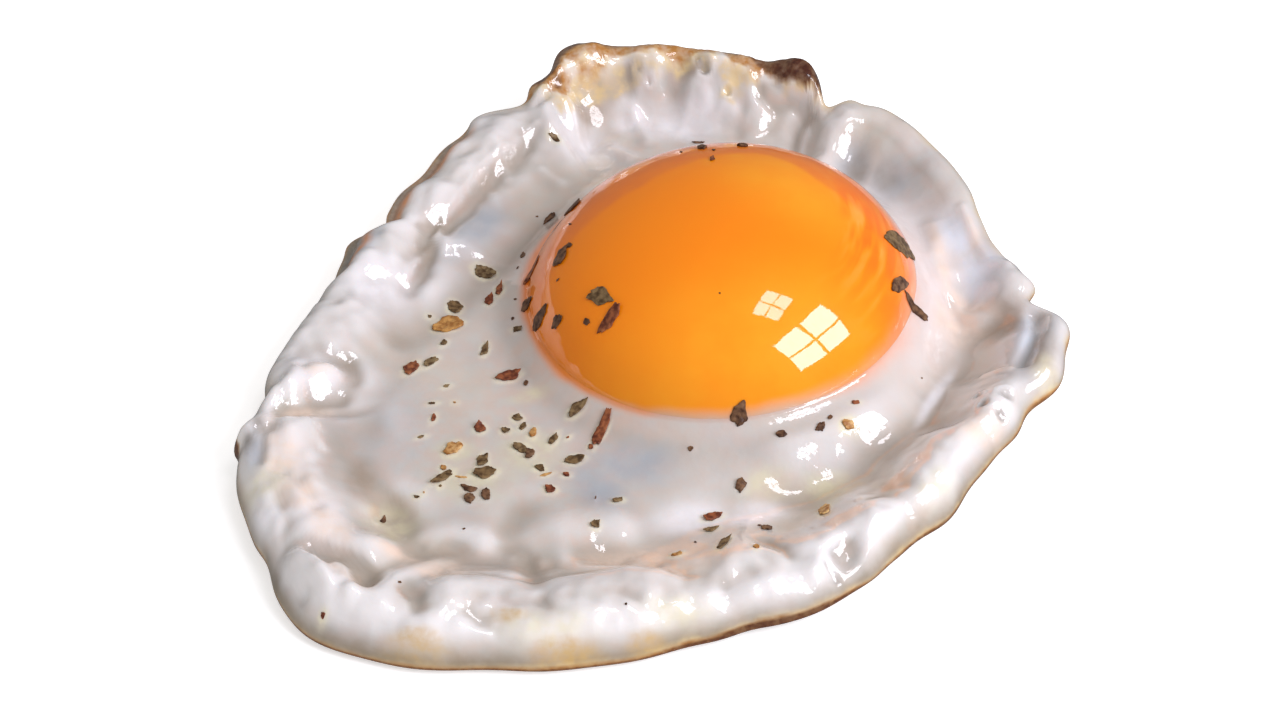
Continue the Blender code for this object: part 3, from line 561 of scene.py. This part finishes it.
# The rings run out along the seat under the yolk, make a tuck under the film, run out over the top, then over
# the lip and back along the underside, there given by their distance in from the edge. The fringe hangs a
# little lower than the solid's. The white's top starts at the seam, a small step under the yolk's skin.
SEAT, TOP, UNDERSIDE = 0, 1, 2
SEAT_RINGS = 7
SEAT_FROM = 0.15
TUCKED_IN = 0.5
TUCKED_DOWN = 0.6
TOP_RINGS = 84
TOP_CROWDING = 1.15
BEFORE_LIP = 0.5
LIP_INSETS = (3.4, 2.9, 2.4, 2.0, 1.65, 1.3, 1.0, 0.75, 0.53, 0.36, 0.22, 0.12, 0.05, 0.01, 0.0)
UNDER_INSETS = (0.02, 0.12, 0.35, 0.7, 1.2, 1.9, 2.8, 4.0, 5.5, 7.5, 10.0, 13.0)
FRINGE_HANGS = 0.06
SEAM = 23.15
SEAM_STEP = 0.03

# The steps are closer together where the rim is far from the yolk, so that they are of even length there.
WHITE_STEPS = 740
turn = np.arange(0.0, 360.0, 0.1)
passed = np.cumsum(rim(turn, 1))
WHITE_BEARINGS = np.interp(np.arange(WHITE_STEPS) * passed[-1] / WHITE_STEPS, passed, turn)

reach = rim(WHITE_BEARINGS, 1)
rings = [(0.0, YOLK_WIDEST_AT - YOLK_BASE - GAP, SEAT)]
for part_way in np.linspace(SEAT_FROM, 1.0, SEAT_RINGS):
    angle = part_way * math.pi / 2.0
    out = (YOLK_RADIUS + GAP) * math.sin(angle)
    under_yolk = YOLK_WIDEST_AT - (YOLK_BASE + GAP) * math.cos(angle)
    rings.append((out, under_yolk + lean(WHITE_BEARINGS, out), SEAT))
out = SEAM - TUCKED_IN
rings.append((out, skin_top(WHITE_BEARINGS, out) - TUCKED_DOWN, TOP))
for part_way in np.linspace(0.0, 1.0, TOP_RINGS) ** TOP_CROWDING:
    out = SEAM + (reach - LIP_INSETS[0] - BEFORE_LIP - SEAM) * part_way
    rings.append((out, skin_top(WHITE_BEARINGS, out) - (SEAM_STEP if part_way == 0.0 else 0.0), TOP))
for inset in LIP_INSETS:
    rings.append((reach - inset, skin_top(WHITE_BEARINGS, reach - inset), TOP))
for inset in UNDER_INSETS:
    under = white_under(WHITE_BEARINGS, reach - inset)
    rings.append((reach - inset, under - FRINGE_HANGS * min(inset, 1.0) * ease(under), UNDERSIDE))
for part_way in (0.75, 0.5, 0.25):
    out = (reach - UNDER_INSETS[-1]) * part_way
    rings.append((out, white_under(WHITE_BEARINGS, out), UNDERSIDE))
rings.append((0.0, 0.0, UNDERSIDE))

laid = lay_on_rings("egg_white_skin", WHITE_BEARINGS, rings)
skin, ring, step, bearing, out, ring_height = laid
face = np.array([face for _, _, face in rings])[ring]
x, y = in_plan(bearing, out)
inset = rim(bearing, 1) - out
on_top = face == TOP
away_from_yolk = ease((out - YOLK_RADIUS - 0.5) / 3.0)
upper_right = around(bearing, 35.0, 63.0, 45.0)
behind = around(bearing, 70.0, 112.5, 75.0)

# How hollow or raised each place is against what lies this far round it: hollows get painted shade and rises
# painted light. A hollow or rise of the full depth counts in full.
ROUND = 3.0
FULL_DEPTH = 1.1
turns = np.arange(8) * math.pi / 4
nearby = [white_top(*polar(x + ROUND * math.cos(turn), y + ROUND * math.sin(turn))) for turn in turns]
hollow = (np.mean(nearby, axis=0) - white_top(bearing, out)) / FULL_DEPTH
paint(skin, "hollow", np.clip(hollow, 0.0, 1.0) * away_from_yolk * (1.0 - 0.85 * behind))
paint(skin, "painted_light_on_rises", np.clip(-hollow, 0.0, 1.0) * away_from_yolk * (1.0 - 0.6 * upper_right))

# The same at a finer scale, from the laid rings themselves: painted shade in the creases between the folds
# and painted light on their crests.
FULL_CREASE = 0.18
heights = ring_height
for axis, steps in ((1, 4), (0, 5)):
    shifted = [np.roll(heights, shift, axis=axis) for shift in range(-steps, steps + 1)]
    heights = np.mean(shifted, axis=0)
crease = (heights - ring_height)[ring, step] * on_top * ease((inset - 1.5) / 1.5) * away_from_yolk
crease *= (1.0 - np.maximum(0.6 * upper_right, 0.5 * behind)) / FULL_CREASE
paint(skin, "crease", np.clip(crease, 0.0, 1.0))
paint(skin, "painted_light_on_crests", np.clip(-crease, 0.0, 1.0))

# How the film of white lies over the yolk, by bearing: where it starts to show as a blush, where the blush is
# full, how strong it is, and where the white starts and is opaque. It is crisp at the front, and behind the
# yolk it climbs far up the dome as a salmon band.
VEIL = (
    (0, 17.6, 19.6, 0.7, 21.4, 25.4), (10, 15.6, 17.2, 0.8, 20.6, 24.8), (22, 13.4, 14.6, 0.85, 19.2, 23.2),
    (32, 12.6, 13.6, 0.9, 18.8, 22.6), (45, 12.4, 13.4, 0.9, 19.8, 23.6), (63, 12.4, 13.4, 0.9, 20.6, 24.2),
    (84, 11.2, 12.4, 0.9, 21.4, 24.8), (113, 9.8, 11, 0.9, 22.4, 25.2), (146, 10.8, 12.2, 0.9, 23.2, 25.4),
    (161, 13, 14.8, 0.85, 23.4, 25.4), (172, 15.4, 17.8, 0.75, 23.4, 25.2), (184, 19, 22, 0.7, 23.2, 24.8),
    (195, 21.6, 23.4, 0.5, 23.2, 24.4), (217, 22.5, 23.7, 0.2, 23.2, 24.4),
    (232, 22.5, 23.5, 0, 22.9, 24.1), (263, 22.5, 23.5, 0, 22.4, 23.6), (289, 22.5, 23.5, 0, 22.3, 23.6),
    (311, 22, 23.5, 0.1, 22.2, 25), (325, 21.4, 23, 0.3, 22, 25.4), (343, 19.6, 21.8, 0.5, 21.2, 25.2),
)


def by_bearing(table, bearing):
    """Each column of a table of stations round the egg, read between its rows."""
    angles, *columns = np.array(table, float).T
    return [np.interp(bearing, angles, column, period=360.0) for column in columns]


def paint_film(mesh, bearing, out):
    """Keeps how strong the blush and the white of the film are at each vertex."""
    blush_from, blush_full, strength, white_from, white_full = by_bearing(VEIL, bearing)
    wobble = out + 0.20 * swell(*in_plan(bearing, out), 3.0, 6.0)
    paint(mesh, "blush", strength * ease((wobble - blush_from) / (blush_full - blush_from)))
    # The yolk glows through the white beside it, most on the right.
    glow = (0.06 + 0.28 * around(bearing, 5.0, 54.0, 45.0)) * np.exp(-np.maximum(out - white_full, 0.0) / 2.8)
    paint(mesh, "veil", ease((wobble - white_from) / (white_full - white_from)) * (1.0 - glow))


paint_film(skin, bearing, out)
# Whiter where the white is thick beside the yolk; over the upper right this is also painted light over shade.
thick = around(bearing, 25.0, 93.5, 85.0) * ease(1.0 - (out - YOLK_RADIUS - 2.5) / 7.0)
paint(skin, "thick", thick)

# The browned rim, by bearing: how far in from the edge it is brown, how far in it is cream, and how burnt
# it is from 0 to 1.
CRUST = (
    (0, 0.35, 0.5, 0.4), (20, 0.3, 0.8, 0), (45, 0.5, 1, 0.1), (62, 0.4, 1, 0.1), (68.5, 0.8, 1.2, 0.8),
    (70, 2.4, 2.8, 1), (72, 3.2, 3.6, 1), (75, 3.9, 4.4, 1), (78, 4.2, 5.2, 0.95), (80, 3.9, 5.2, 0.8),
    (84, 3.7, 5, 0.5), (88, 3.4, 5, 0.4), (95, 3, 4.6, 0.25), (101, 3.1, 4.8, 0.2), (106, 3.2, 5, 0.35),
    (110, 3.6, 5.4, 0.5), (114, 4.1, 6, 0.6), (118, 4.3, 6, 0.65), (121, 3.9, 5.6, 0.65),
    (123, 2, 2.8, 0.2), (126, 0.6, 1, 0), (150, 0.5, 0.6, 0), (190, 0.35, 0.4, 0.4), (202, 0.4, 0.4, 0.5),
    (203.6, 2.4, 2.6, 0.9), (205, 2.4, 2.6, 0.9), (206.4, 0.4, 0.5, 0.5), (230, 0.4, 0.4, 0.7),
    (250, 0.5, 0.6, 0.6), (262, 0.6, 0.8, 0.6), (272, 1.2, 1.4, 0.9), (281, 1, 1.2, 0.9),
    (290, 0.4, 0.6, 0.6), (302, 0.6, 0.8, 0.8), (320, 0.5, 0.6, 0.5), (331, 0.8, 1, 0.5),
    (336, 0.4, 0.5, 0.4), (344, 0.9, 1.2, 0.3), (350, 0.4, 0.5, 0.3),
)
brown_to, cream_to, burnt = by_bearing(CRUST, bearing)
ragged = 0.8 * swell(x, y, 6.0, 13.0) + 0.6 * swell(x, y, 2.2, 8.0) + 0.3 * swell(x, y, 0.9, 9.0)
from_edge = np.where(face == UNDERSIDE, -0.5, np.hypot(inset, ring_height[ring, step] - rim(bearing, 2)))
paint(skin, "brown", ease(0.5 + (brown_to * (1.0 + 0.4 * ragged) - from_edge) / 0.6))
paint(skin, "cream", ease(0.5 + (cream_to * (1.0 + 0.7 * ragged) - from_edge) / 1.6))
burnt_to = brown_to * (0.3 + 0.7 * burnt) * (1.0 + 0.3 * ragged)
paint(skin, "burnt", burnt**0.5 * ease(0.5 + (burnt_to - from_edge) / 0.5))
# Painted shade along the outer edge, widest at the front, where the rim turns down away from the light.
front = around(bearing, 262.0, 80.0, 50.0)
paint(skin, "painted_shade_at_edge", ease(1.0 - from_edge / (1.3 + 3.6 * front)) * on_top)
halo = near_flakes(x, y, ("herb", "golden", "chilli"), DRAWN_UP_REACH)
paint(skin, "halo", halo * away_from_yolk * on_top)
paint(skin, "sole", np.where(face == UNDERSIDE, ease(inset / 0.3), 0.0))

# The skirt outside the left rim shows grey, with an orange line of browned fat along its inside. It is widest
# at the frill.
FAT_LINE_IN = 0.35
FAT_LINE_WIDTH = 0.6
in_skirt = between(bearing, *SKIRT) * on_top
frill = around(bearing, 170.0, 6.0, 6.0)
skirt_to = SKIRT_WIDTH * (1.0 + 0.3 * swell(x, y, 4.0, 10.0) + 1.2 * frill)
paint(skin, "skirt", in_skirt * ease(0.5 + (skirt_to - inset) / 0.5))
paint(skin, "fat_line", in_skirt * bell(inset - skirt_to - FAT_LINE_IN, FAT_LINE_WIDTH))

# Patches on the white: place in plan, half length, half width and direction of each.
PATCHES = {
    # Painted peach reflection of warm surroundings on slopes and lobes.
    "painted_peach_reflection": (
        (-42.5, -22.5, 2.6, 4, 20), (-40, -28, 2.4, 4, 30), (-36.5, -33, 2, 4, 35), (-24, -38.5, 4, 2, -10),
        (-2, -36, 8, 2.2, 10), (5, -38, 6, 2, 20), (36.9, -19.6, 3, 2, 30), (35.8, 2.7, 3.6, 2.6, -20),
        (38.7, 14.4, 0.8, 5, 14), (34.4, 12.5, 0.8, 6, 8), (38, 5, 1, 4, 50), (45, -5, 0.7, 5, -15),
        (40, -8.4, 2.6, 0.8, -20), (-41, -14.8, 3.8, 0.9, 30), (-39.5, -8, 1.8, 1.4, 10),
        (-34, -41.5, 3.4, 0.8, -42), (-29, -36, 3, 1, -20),
    ),
    "grey": (
        (-2.4, -20.8, 5.2, 3.6, 0), (-6.5, -24.5, 3, 4.5, 20), (25, 31, 2.4, 3.4, 0), (29, 28, 2.4, 3.2, 0),
        (-35.7, 14, 1.8, 4, -35), (-21.4, 20.2, 2.4, 5, -30), (-45.6, -21.5, 1.2, 3, 0),
        (44.4, -6, 2, 6, -15),
    ),
    # Painted light on places in shade, and a painted highlight along the flank of the valley inside the right
    # rim.
    "painted_light": (
        (-2.5, 42, 3.2, 2.6, 0), (4.5, 41, 6, 2.6, 0), (-8, 37, 4, 4, 0), (38.6, 10.5, 2.4, 4.2, 10),
        (-42.5, -22.5, 3.5, 5, 20), (-38, -31, 3, 5, 35), (-44, -29, 1.6, 4, 15), (36.5, 17, 3, 4, 20),
        (-40, -8, 3, 3, 0), (-33, 8, 4, 4, 0), (-44.5, -31, 2.6, 3.6, 10), (11, -28.5, 4.5, 2.4, 15),
        (5, -29, 5, 2.6, 10), (32.7, -9.4, 5.6, 0.7, 64),
    ),
    # Painted shade in dips, a hollow, on the outer right rim and the basin's left edge; grey-brown on the far
    # crust.
    "tan": (
        (25.5, 30.5, 1.8, 2.6, 0), (28.8, 28.4, 1.8, 2.4, 0), (42, 0.5, 2.6, 4.2, 15),
        (45, -8, 1.8, 5, -15), (-2, 46.2, 2.6, 1, 0), (5, 46, 2.2, 0.9, 0), (-8.4, 42.4, 2.2, 1.2, 30),
        (45.6, -10, 1.2, 4, 15), (-33.6, -23.5, 1.8, 4, -10),
    ),
    # Painted shade in the pits of the craters, the dents of the left edge and a crease at the front corner.
    "painted_shade_in_dents": (
        (-42.6, -39.6, 1, 2.8, -25), (40.2, -14.7, 0.9, 0.9, 0), (39.4, -17.4, 0.7, 0.7, 0),
        (37.6, -16, 0.6, 0.6, 0), (6.5, 45.4, 0.7, 0.7, 0), (-46.4, -20.4, 0.8, 2, 5),
        (-45.4, -17.6, 0.8, 1.4, -10),
    ),
    # Painted bluish light on facets of the right rim that face away from the windows.
    "painted_bluish_light": (
        (39.4, 9, 2.4, 4.4, 12), (36.6, 15.5, 1.6, 3.4, 20), (43.4, -2.5, 1.2, 3.6, -15),
    ),
    "gold": (
        (-26, -49.2, 3.4, 0.9, -6), (-9.6, -49.8, 3.8, 0.9, 2), (-1, -48.4, 2.2, 0.8, 10),
        (-16, -46.6, 2, 0.9, 0),
    ),
    "oil": (
        (12.5, -23.6, 3, 2, 20), (19.9, -23.8, 3.6, 2.2, 0), (-44, -26.5, 2.5, 3, 0),
        (-14.5, -8.8, 2.6, 1.2, 20), (-20.5, -23.5, 4.5, 3.5, 10), (-14.5, -18.5, 3.5, 3.5, 10),
        (-23, -18.5, 2.5, 2, 10), (22.2, -16.2, 1.8, 1.4, 0), (-30, -30, 3, 4, 0), (-12, -48, 5, 1.6, 0),
        (2, -45.5, 4, 1.6, 8), (31.3, -28.2, 3, 1.4, 50), (45.4, -11, 1.6, 3, 15),
    ),
}


def in_patches(x, y, places):
    """How far each place lies in any of these oval patches, from 0 to 1."""
    amount = np.zeros(np.shape(x))
    for place in places:
        amount = np.maximum(amount, np.exp(-from_oval(x, y, *place) ** 3))
    return amount


for name, places in PATCHES.items():
    paint(skin, name, in_patches(x, y, places) * away_from_yolk * on_top)


def linear(colour):
    """The linear values of a colour written as sRGB hex."""
    parts = [int(colour[at : at + 2], 16) / 255.0 for at in (1, 3, 5)]
    return (*(part / 12.92 if part <= 0.04045 else ((part + 0.055) / 1.055) ** 2.4 for part in parts), 1.0)


def add_node(material, kind, settings, inputs):
    """Adds a node with its settings; an input is a value, or the output of another node to link."""
    made = material.node_tree.nodes.new(kind)
    for name, value in settings.items():
        setattr(made, name, value)
    for name, value in inputs.items():
        if isinstance(value, bpy.types.NodeSocket):
            material.node_tree.links.new(value, made.inputs[name])
        else:
            made.inputs[name].default_value = value
    return made


def set_values(shader, values):
    for name, value in values.items():
        shader.inputs[name].default_value = value


# Where the noise of a layer starts and stops to thin its colour.
MOTTLED = (0.38, 0.62)


def coloured_skin(name, base, layers, swells, shine):
    """A wet cooked surface. Each layer's colour lies over the last as strongly as its painted mask says,
    mottled by noise of its own size. Each swell is a bump's size and height. Sizes are in millimetres."""
    material = bpy.data.materials.new(name)
    material.use_nodes = True
    place = add_node(material, "ShaderNodeTexCoord", {}, {}).outputs["Object"]

    def grain(size, detail):
        inputs = {"Vector": place, "Scale": 1.0 / (size * MM), "Detail": detail}
        return add_node(material, "ShaderNodeTexNoise", {}, inputs).outputs["Fac"]

    colour = linear(base)
    for mask, tint, strength, mottling, size in layers:
        weakest = strength * (1.0 - mottling)
        inputs = {"Value": grain(size, 3.0), 1: MOTTLED[0], 2: MOTTLED[1], 3: weakest, 4: strength}
        amount = add_node(material, "ShaderNodeMapRange", {}, inputs).outputs[0]
        if mask != "all over":
            painted = add_node(material, "ShaderNodeAttribute", {"attribute_name": mask}, {}).outputs["Fac"]
            inputs = {0: amount, 1: painted}
            amount = add_node(material, "ShaderNodeMath", {"operation": "MULTIPLY"}, inputs).outputs[0]
        inputs = {0: amount, 6: colour, 7: linear(tint)}
        colour = add_node(material, "ShaderNodeMix", {"data_type": "RGBA"}, inputs).outputs[2]
    normal = None
    for size, height in swells:
        inputs = {"Height": grain(size, 2.0), "Strength": 1.0, "Distance": height * MM}
        if normal:
            inputs["Normal"] = normal
        normal = add_node(material, "ShaderNodeBump", {}, inputs).outputs["Normal"]
    shader = material.node_tree.nodes["Principled BSDF"]
    material.node_tree.links.new(colour, shader.inputs["Base Color"])
    for socket in ("Normal", "Coat Normal"):
        material.node_tree.links.new(normal, shader.inputs[socket])
    set_values(shader, shine)
    return material


# Cooked albumen, wet with fat: a cool white where it is thick, greyer where it is thin, with painted warm
# shade in its hollows, painted light on its rises, and a sharp gloss that breaks up on its fine swells.
YOLK_ORANGE = "#FF8A06"
FILM_LAYERS = (
    ("blush", "#EB772A", 0.8, 0.25, 3),
    ("veil", "#C9C3BD", 1, 0.10, 2),
)
WHITE_LAYERS = FILM_LAYERS + (
    ("veil", "#C4C6CE", 0.40, 1, 16),
    ("veil", "#D8CDBC", 0.35, 1, 11),
    # Painted shade in hollows and painted light on rises.
    ("hollow", "#A0907F", 0.75, 0.3, 5),
    ("painted_light_on_rises", "#E9E5E5", 0.9, 0.15, 5),
    # Painted shade in creases and painted light on crests.
    ("crease", "#9A8977", 0.4, 0.3, 4),
    ("painted_light_on_crests", "#EEEAEA", 0.5, 0.3, 4),
    # Painted light and a painted highlight.
    ("painted_light", "#F2EFF3", 0.85, 0.3, 3),
    # Whiter thick white, partly painted light.
    ("thick", "#F3E9E8", 0.8, 0.2, 3),
    # Painted peach reflection.
    ("painted_peach_reflection", "#F5DBC8", 0.75, 0.5, 2.2),
    ("grey", "#A2ACB8", 0.72, 0.25, 3),
    # Darker grey-brown, partly painted shade.
    ("tan", "#9E8B78", 0.65, 0.4, 3),
    # Painted shade in pits and dents.
    ("painted_shade_in_dents", "#756859", 0.7, 0.4, 2),
    ("oil", "#E4D9AE", 0.5, 0.6, 2),
    # Painted bluish light.
    ("painted_bluish_light", "#DCE3F1", 0.75, 0.2, 3),
    # Painted shade along the edge.
    ("painted_shade_at_edge", "#85755D", 0.85, 0.35, 3),
    ("gold", "#C9A35C", 0.7, 0.5, 1.4),
    ("halo", "#F0E6C2", 0.6, 0.5, 1),
    ("sole", "#B9A58C", 0.9, 0.4, 2.5),
    ("cream", "#E6CB95", 0.8, 0.6, 1.6),
    ("skirt", "#867B6E", 0.9, 0.4, 1.2),
    ("fat_line", "#D98B4C", 1, 0.3, 1.6),
    ("brown", "#B3762B", 0.95, 0.35, 1),
    ("burnt", "#421203", 0.98, 0.2, 1),
)
WET = {
    "Roughness": 0.32,
    "IOR": 1.40,
    "Subsurface Weight": 0.20,
    "Subsurface Radius": (1.0, 0.75, 0.60),
    "Subsurface Scale": 0.0015,
    "Coat Weight": 1.0,
    "Coat Roughness": 0.035,
    "Coat IOR": 1.75,
}
WHITE_SWELLS = ((2.2, 0.08), (0.7, 0.012))
albumen = coloured_skin("cooked_albumen_wet", YOLK_ORANGE, WHITE_LAYERS, WHITE_SWELLS, WET)
white = as_piece(skin, albumen)
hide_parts("egg_white")

# The yolk.
# A runny yolk, still whole in its skin under a thin film of white. It sits in the thick white, and its dome
# runs into the white without a step, so its upper edge lies on the same face as the white's.
YOLK_STEPS = 260
YOLK_BEARINGS = np.arange(YOLK_STEPS) * 360.0 / YOLK_STEPS
DOME_RINGS = 100
BOWL_RINGS = 9
UNDER_THE_WHITE = 0.12

rings = [(0.0, skin_top(np.zeros(1), 0.0))]
for part_way in np.sin(np.linspace(0.0, math.pi / 2.0, DOME_RINGS + 1)[1:]):
    out = (SEAM + UNDER_THE_WHITE) * part_way
    rings.append((out, skin_top(YOLK_BEARINGS, out)))
for part_way in np.linspace(0.0, 1.0, BOWL_RINGS + 1)[:-1]:
    angle = part_way * math.pi / 2.0
    out = YOLK_RADIUS * math.cos(angle)
    rings.append((out, YOLK_WIDEST_AT - YOLK_BASE * math.sin(angle) + lean(YOLK_BEARINGS, out)))
rings.append((0.0, YOLK_WIDEST_AT - YOLK_BASE))
yolk_mesh, _, _, bearing, out, _ = lay_on_rings("soft_yolk_skin", YOLK_BEARINGS, rings)
paint_film(yolk_mesh, bearing, out)

# Soft yolk: saturated orange with a mirror-like wet skin. It is deeper with light strands along its right
# flank, and paler behind and where the light of the windows falls into it.
from_left = np.radians((bearing + 180.0) % 360.0)
strand = swell(from_left * 3.2, out * 0.9, 1.0, 11.0)
strand += 0.5 * swell(from_left * 6.0, out * 2.0, 1.0, 12.0)
on_right = ease((out - 13.0) / 3.5) * around(bearing, 10.0, 65.0, 65.0)
paint(yolk_mesh, "deep", on_right * ease(0.5 - strand * 1.5))
paint(yolk_mesh, "strand", on_right * ease(strand * 2.2 - 0.1))
behind = ease((out - 7.0) / 3.0) * around(bearing, 75.0, 70.0, 70.0) * ease(0.4 + strand)
LIT = ((17.0, 12.0, 10.0, 7.0, -30), (10.0, -12.0, 20.0, 9.0, 10))
paint(yolk_mesh, "pale", np.maximum(behind, in_patches(*in_plan(bearing, out), LIT)))
YOLK_LAYERS = (
    ("pale", "#FFA41C", 0.8, 0.3, 5),
    ("deep", "#F65F0C", 0.8, 0.3, 4),
    ("strand", "#FFA850", 0.65, 0.3, 2),
) + FILM_LAYERS
YOLK_WET = WET | {"Specular IOR Level": 0.05}
YOLK_SWELLS = ((6.0, 0.05), (1.2, 0.006))
runny = coloured_skin("runny_yolk_in_its_skin", YOLK_ORANGE, YOLK_LAYERS, YOLK_SWELLS, YOLK_WET)
yolk = as_piece(yolk_mesh, runny)
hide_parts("yolk")

# The flakes.
# Dried herb leaf, cracked pepper, dried chilli and golden crumbs, sprinkled on the egg and stuck in its wet
# film. Each flake is a flattened ball with the outline of a broken shard, laid on the surface under it.
FLAKE_STEPS = 36
FLAKE_RINGS = 10
CORNERS = (5, 7)
JAGGED = 0.22


def shard(pick, corners, angles):
    """The reach of a broken shard's outline at each angle: straight edges between a few corners."""
    turns = (np.arange(corners) + pick.uniform(-0.32, 0.32, corners)) * 2.0 * math.pi / corners
    reaches = pick.uniform(0.75, 1.30, corners)
    turns = np.append(turns, turns[0] + 2.0 * math.pi)
    reaches = np.append(reaches, reaches[0])
    angles = (angles - turns[0]) % (2.0 * math.pi) + turns[0]
    edge = np.clip(np.searchsorted(turns, angles, side="right") - 1, 0, corners - 1)
    start, end = turns[edge], turns[edge + 1]
    nearer = np.sin(end - angles) / reaches[edge] + np.sin(angles - start) / reaches[edge + 1]
    return np.sin(end - start) / nearer


def sprinkle(name, rows, thickness, curl, crumple, material, seed):
    """All flakes of one kind as one piece. A small flake is thinner and less bent and crumpled than these
    limits, by its width."""
    pick = np.random.default_rng(seed)
    shape = bmesh.new()
    bmesh.ops.create_uvsphere(shape, u_segments=FLAKE_STEPS, v_segments=FLAKE_RINGS, radius=1.0)
    ball = bpy.data.meshes.new(name)
    shape.to_mesh(ball)
    shape.free()
    spot = np.array([vertex.co for vertex in ball.vertices])
    places, shades = [], []
    pile = bmesh.new()
    angles = np.arctan2(spot[:, 1], spot[:, 0]) % (2.0 * math.pi)
    for across, along, length, width, turn in rows:
        pile.from_mesh(ball)
        corners = int(pick.integers(CORNERS[0], CORNERS[1] + 1))
        spread = np.hypot(spot[:, 0], spot[:, 1]) ** 0.8 * shard(pick, corners, angles)
        spread *= 1.0 + JAGGED * swell(3.0 * np.cos(angles), 3.0 * np.sin(angles), 1.0, seed + across)
        u, v = spread * np.cos(angles), spread * np.sin(angles)
        cosine, sine = math.cos(math.radians(turn)), math.sin(math.radians(turn))
        x = across + u * length * 0.5 * cosine - v * width * 0.5 * sine
        y = along + u * length * 0.5 * sine + v * width * 0.5 * cosine
        thick = min(thickness, width * 0.35)
        rise = np.sign(spot[:, 2]) * np.abs(spot[:, 2]) ** 0.5 * thick / 2.0
        bend = min(curl, width * 0.2) * pick.uniform(0.2, 1.0)
        side = pick.choice((-1.0, 1.0))
        rise += thick * 0.3 + bend * (u * side + 0.3) ** 2
        rise += min(crumple, width * 0.08) * swell(x, y, 0.5, seed + 20.0)
        places.append(np.stack([x, y, skin_top(*polar(x, y)) + rise], axis=1) * MM)
        shades.append(np.full(len(spot), pick.uniform(0.0, 1.0)))
    pile.to_mesh(ball)
    pile.free()
    ball.vertices.foreach_set("co", np.concatenate(places).astype(np.float32).ravel())
    paint(ball, "shade", np.concatenate(shades))
    return as_piece(ball, material)


DRY = {
    "Roughness": 0.6,
    "IOR": 1.45,
    "Specular IOR Level": 0.3,
    "Coat Weight": 0.15,
    "Coat Roughness": 0.15,
}
# Kind, thickness, curl and crumple in millimetres, name of its material, and its base, light and dark colour.
SPRINKLED = (
    ("herb", 0.30, 0.25, 0.14, "dried_herb_leaf", "#806440", "#A08A64", "#4E3820"),
    ("pepper", 0.55, 0.10, 0.16, "cracked_black_pepper", "#78543A", "#967454", "#472B1B"),
    ("chilli", 0.35, 0.30, 0.16, "dried_chilli_skin", "#96522F", "#B4744A", "#5E2C1A"),
    ("golden", 0.40, 0.15, 0.16, "golden_onion_crumbs", "#CC9650", "#F0D49A", "#9C6630"),
)
for seed, (kind, thickness, curl, crumple, stuff, base, light, dark) in enumerate(SPRINKLED, 7):
    layers = (("shade", light, 0.8, 0.5, 1.5), ("all over", dark, 1.0, 0.8, 0.7))
    dried = coloured_skin(stuff, base, layers, ((0.5, 0.10),), DRY)
    sprinkle(kind + "_flakes", FLAKES[kind], thickness, curl, crumple, dried, seed)

# Floor, light and camera.
# A plain white board under the egg, windows of soft light to the right, and even light all round. The board
# is left out of reflections, so that the wet rim mirrors the room and not a white glare.
floor_mesh = grid_mesh("board", 1, 1)
floor = put_in_scene("board", floor_mesh)
board = bpy.data.materials.new("matt_white_board")
board.use_nodes = True
BOARD = {
    "Base Color": linear("#F6F6F6"),
    "Roughness": 0.9,
    "Specular IOR Level": 0.0,
    "Emission Color": linear("#FFFFFF"),
    "Emission Strength": 0.5,
}
set_values(board.node_tree.nodes["Principled BSDF"], BOARD)
floor_mesh.materials.append(board)
floor.visible_glossy = False

# Each window: bearing from +Y towards +X and height in degrees, distance in metres, width and height of the
# whole, and the light of each pane in watts. There are so many panes across and up, each filling this share
# of its place.
TARGET = Vector((-0.00178, -0.00315, 0.004))
PANES = 2
PANE_SHARE = 0.9
WINDOWS = (
    ("right window", 120, 39.5, 0.60, 0.39, 0.36, 0.80),
    ("high window", 112, 73, 0.60, 0.15, 0.14, 0.09),
)
for name, azimuth, height, distance, width, tall, watts in WINDOWS:
    turn, rise = math.radians(azimuth), math.radians(height)
    away = Vector((math.cos(rise) * math.sin(turn), math.cos(rise) * math.cos(turn), math.sin(rise)))
    facing = away.to_track_quat("Z", "Y")
    for column in range(PANES):
        for row in range(PANES):
            lamp = bpy.data.lights.new(name, "AREA")
            lamp.shape = "RECTANGLE"
            lamp.size, lamp.size_y = width / PANES * PANE_SHARE, tall / PANES * PANE_SHARE
            lamp.energy = watts
            lamp.color = linear("#F7F6FF")[:3]
            pane = put_in_scene(name, lamp)
            shift_x, shift_y = (column + 0.5) / PANES - 0.5, (row + 0.5) / PANES - 0.5
            shift = facing @ Vector((shift_x * width, shift_y * tall, 0.0))
            pane.location = TARGET + away * distance + shift
            pane.rotation_mode = "QUATERNION"
            pane.rotation_quaternion = facing

world = bpy.data.worlds.new("even_light")
bpy.context.scene.world = world
world.use_nodes = True
background = world.node_tree.nodes["Background"]
background.inputs["Color"].default_value = linear("#FFFDFB")
# The room is dimmer in reflections than the even light it gives, so that the gloss shows the windows.
IN_VIEW = 0.52
IN_REFLECTIONS = 0.16
glossy = add_node(world, "ShaderNodeLightPath", {}, {}).outputs["Is Glossy Ray"]
inputs = {"Value": glossy, 3: IN_VIEW, 4: IN_REFLECTIONS}
dimmed = add_node(world, "ShaderNodeMapRange", {}, inputs).outputs[0]
world.node_tree.links.new(dimmed, background.inputs["Strength"])

ELEVATION = math.radians(42.0)
DISTANCE = 0.42
camera = put_in_scene("camera", bpy.data.cameras.new("camera"))
camera.data.lens = 100.0
camera.data.clip_start = 0.01
camera.location = TARGET + Vector((0.0, -math.cos(ELEVATION), math.sin(ELEVATION))) * DISTANCE
camera.rotation_euler = (TARGET - camera.location).to_track_quat("-Z", "Y").to_euler()
bpy.context.scene.camera = camera
bpy.context.scene.view_settings.view_transform = "Standard"
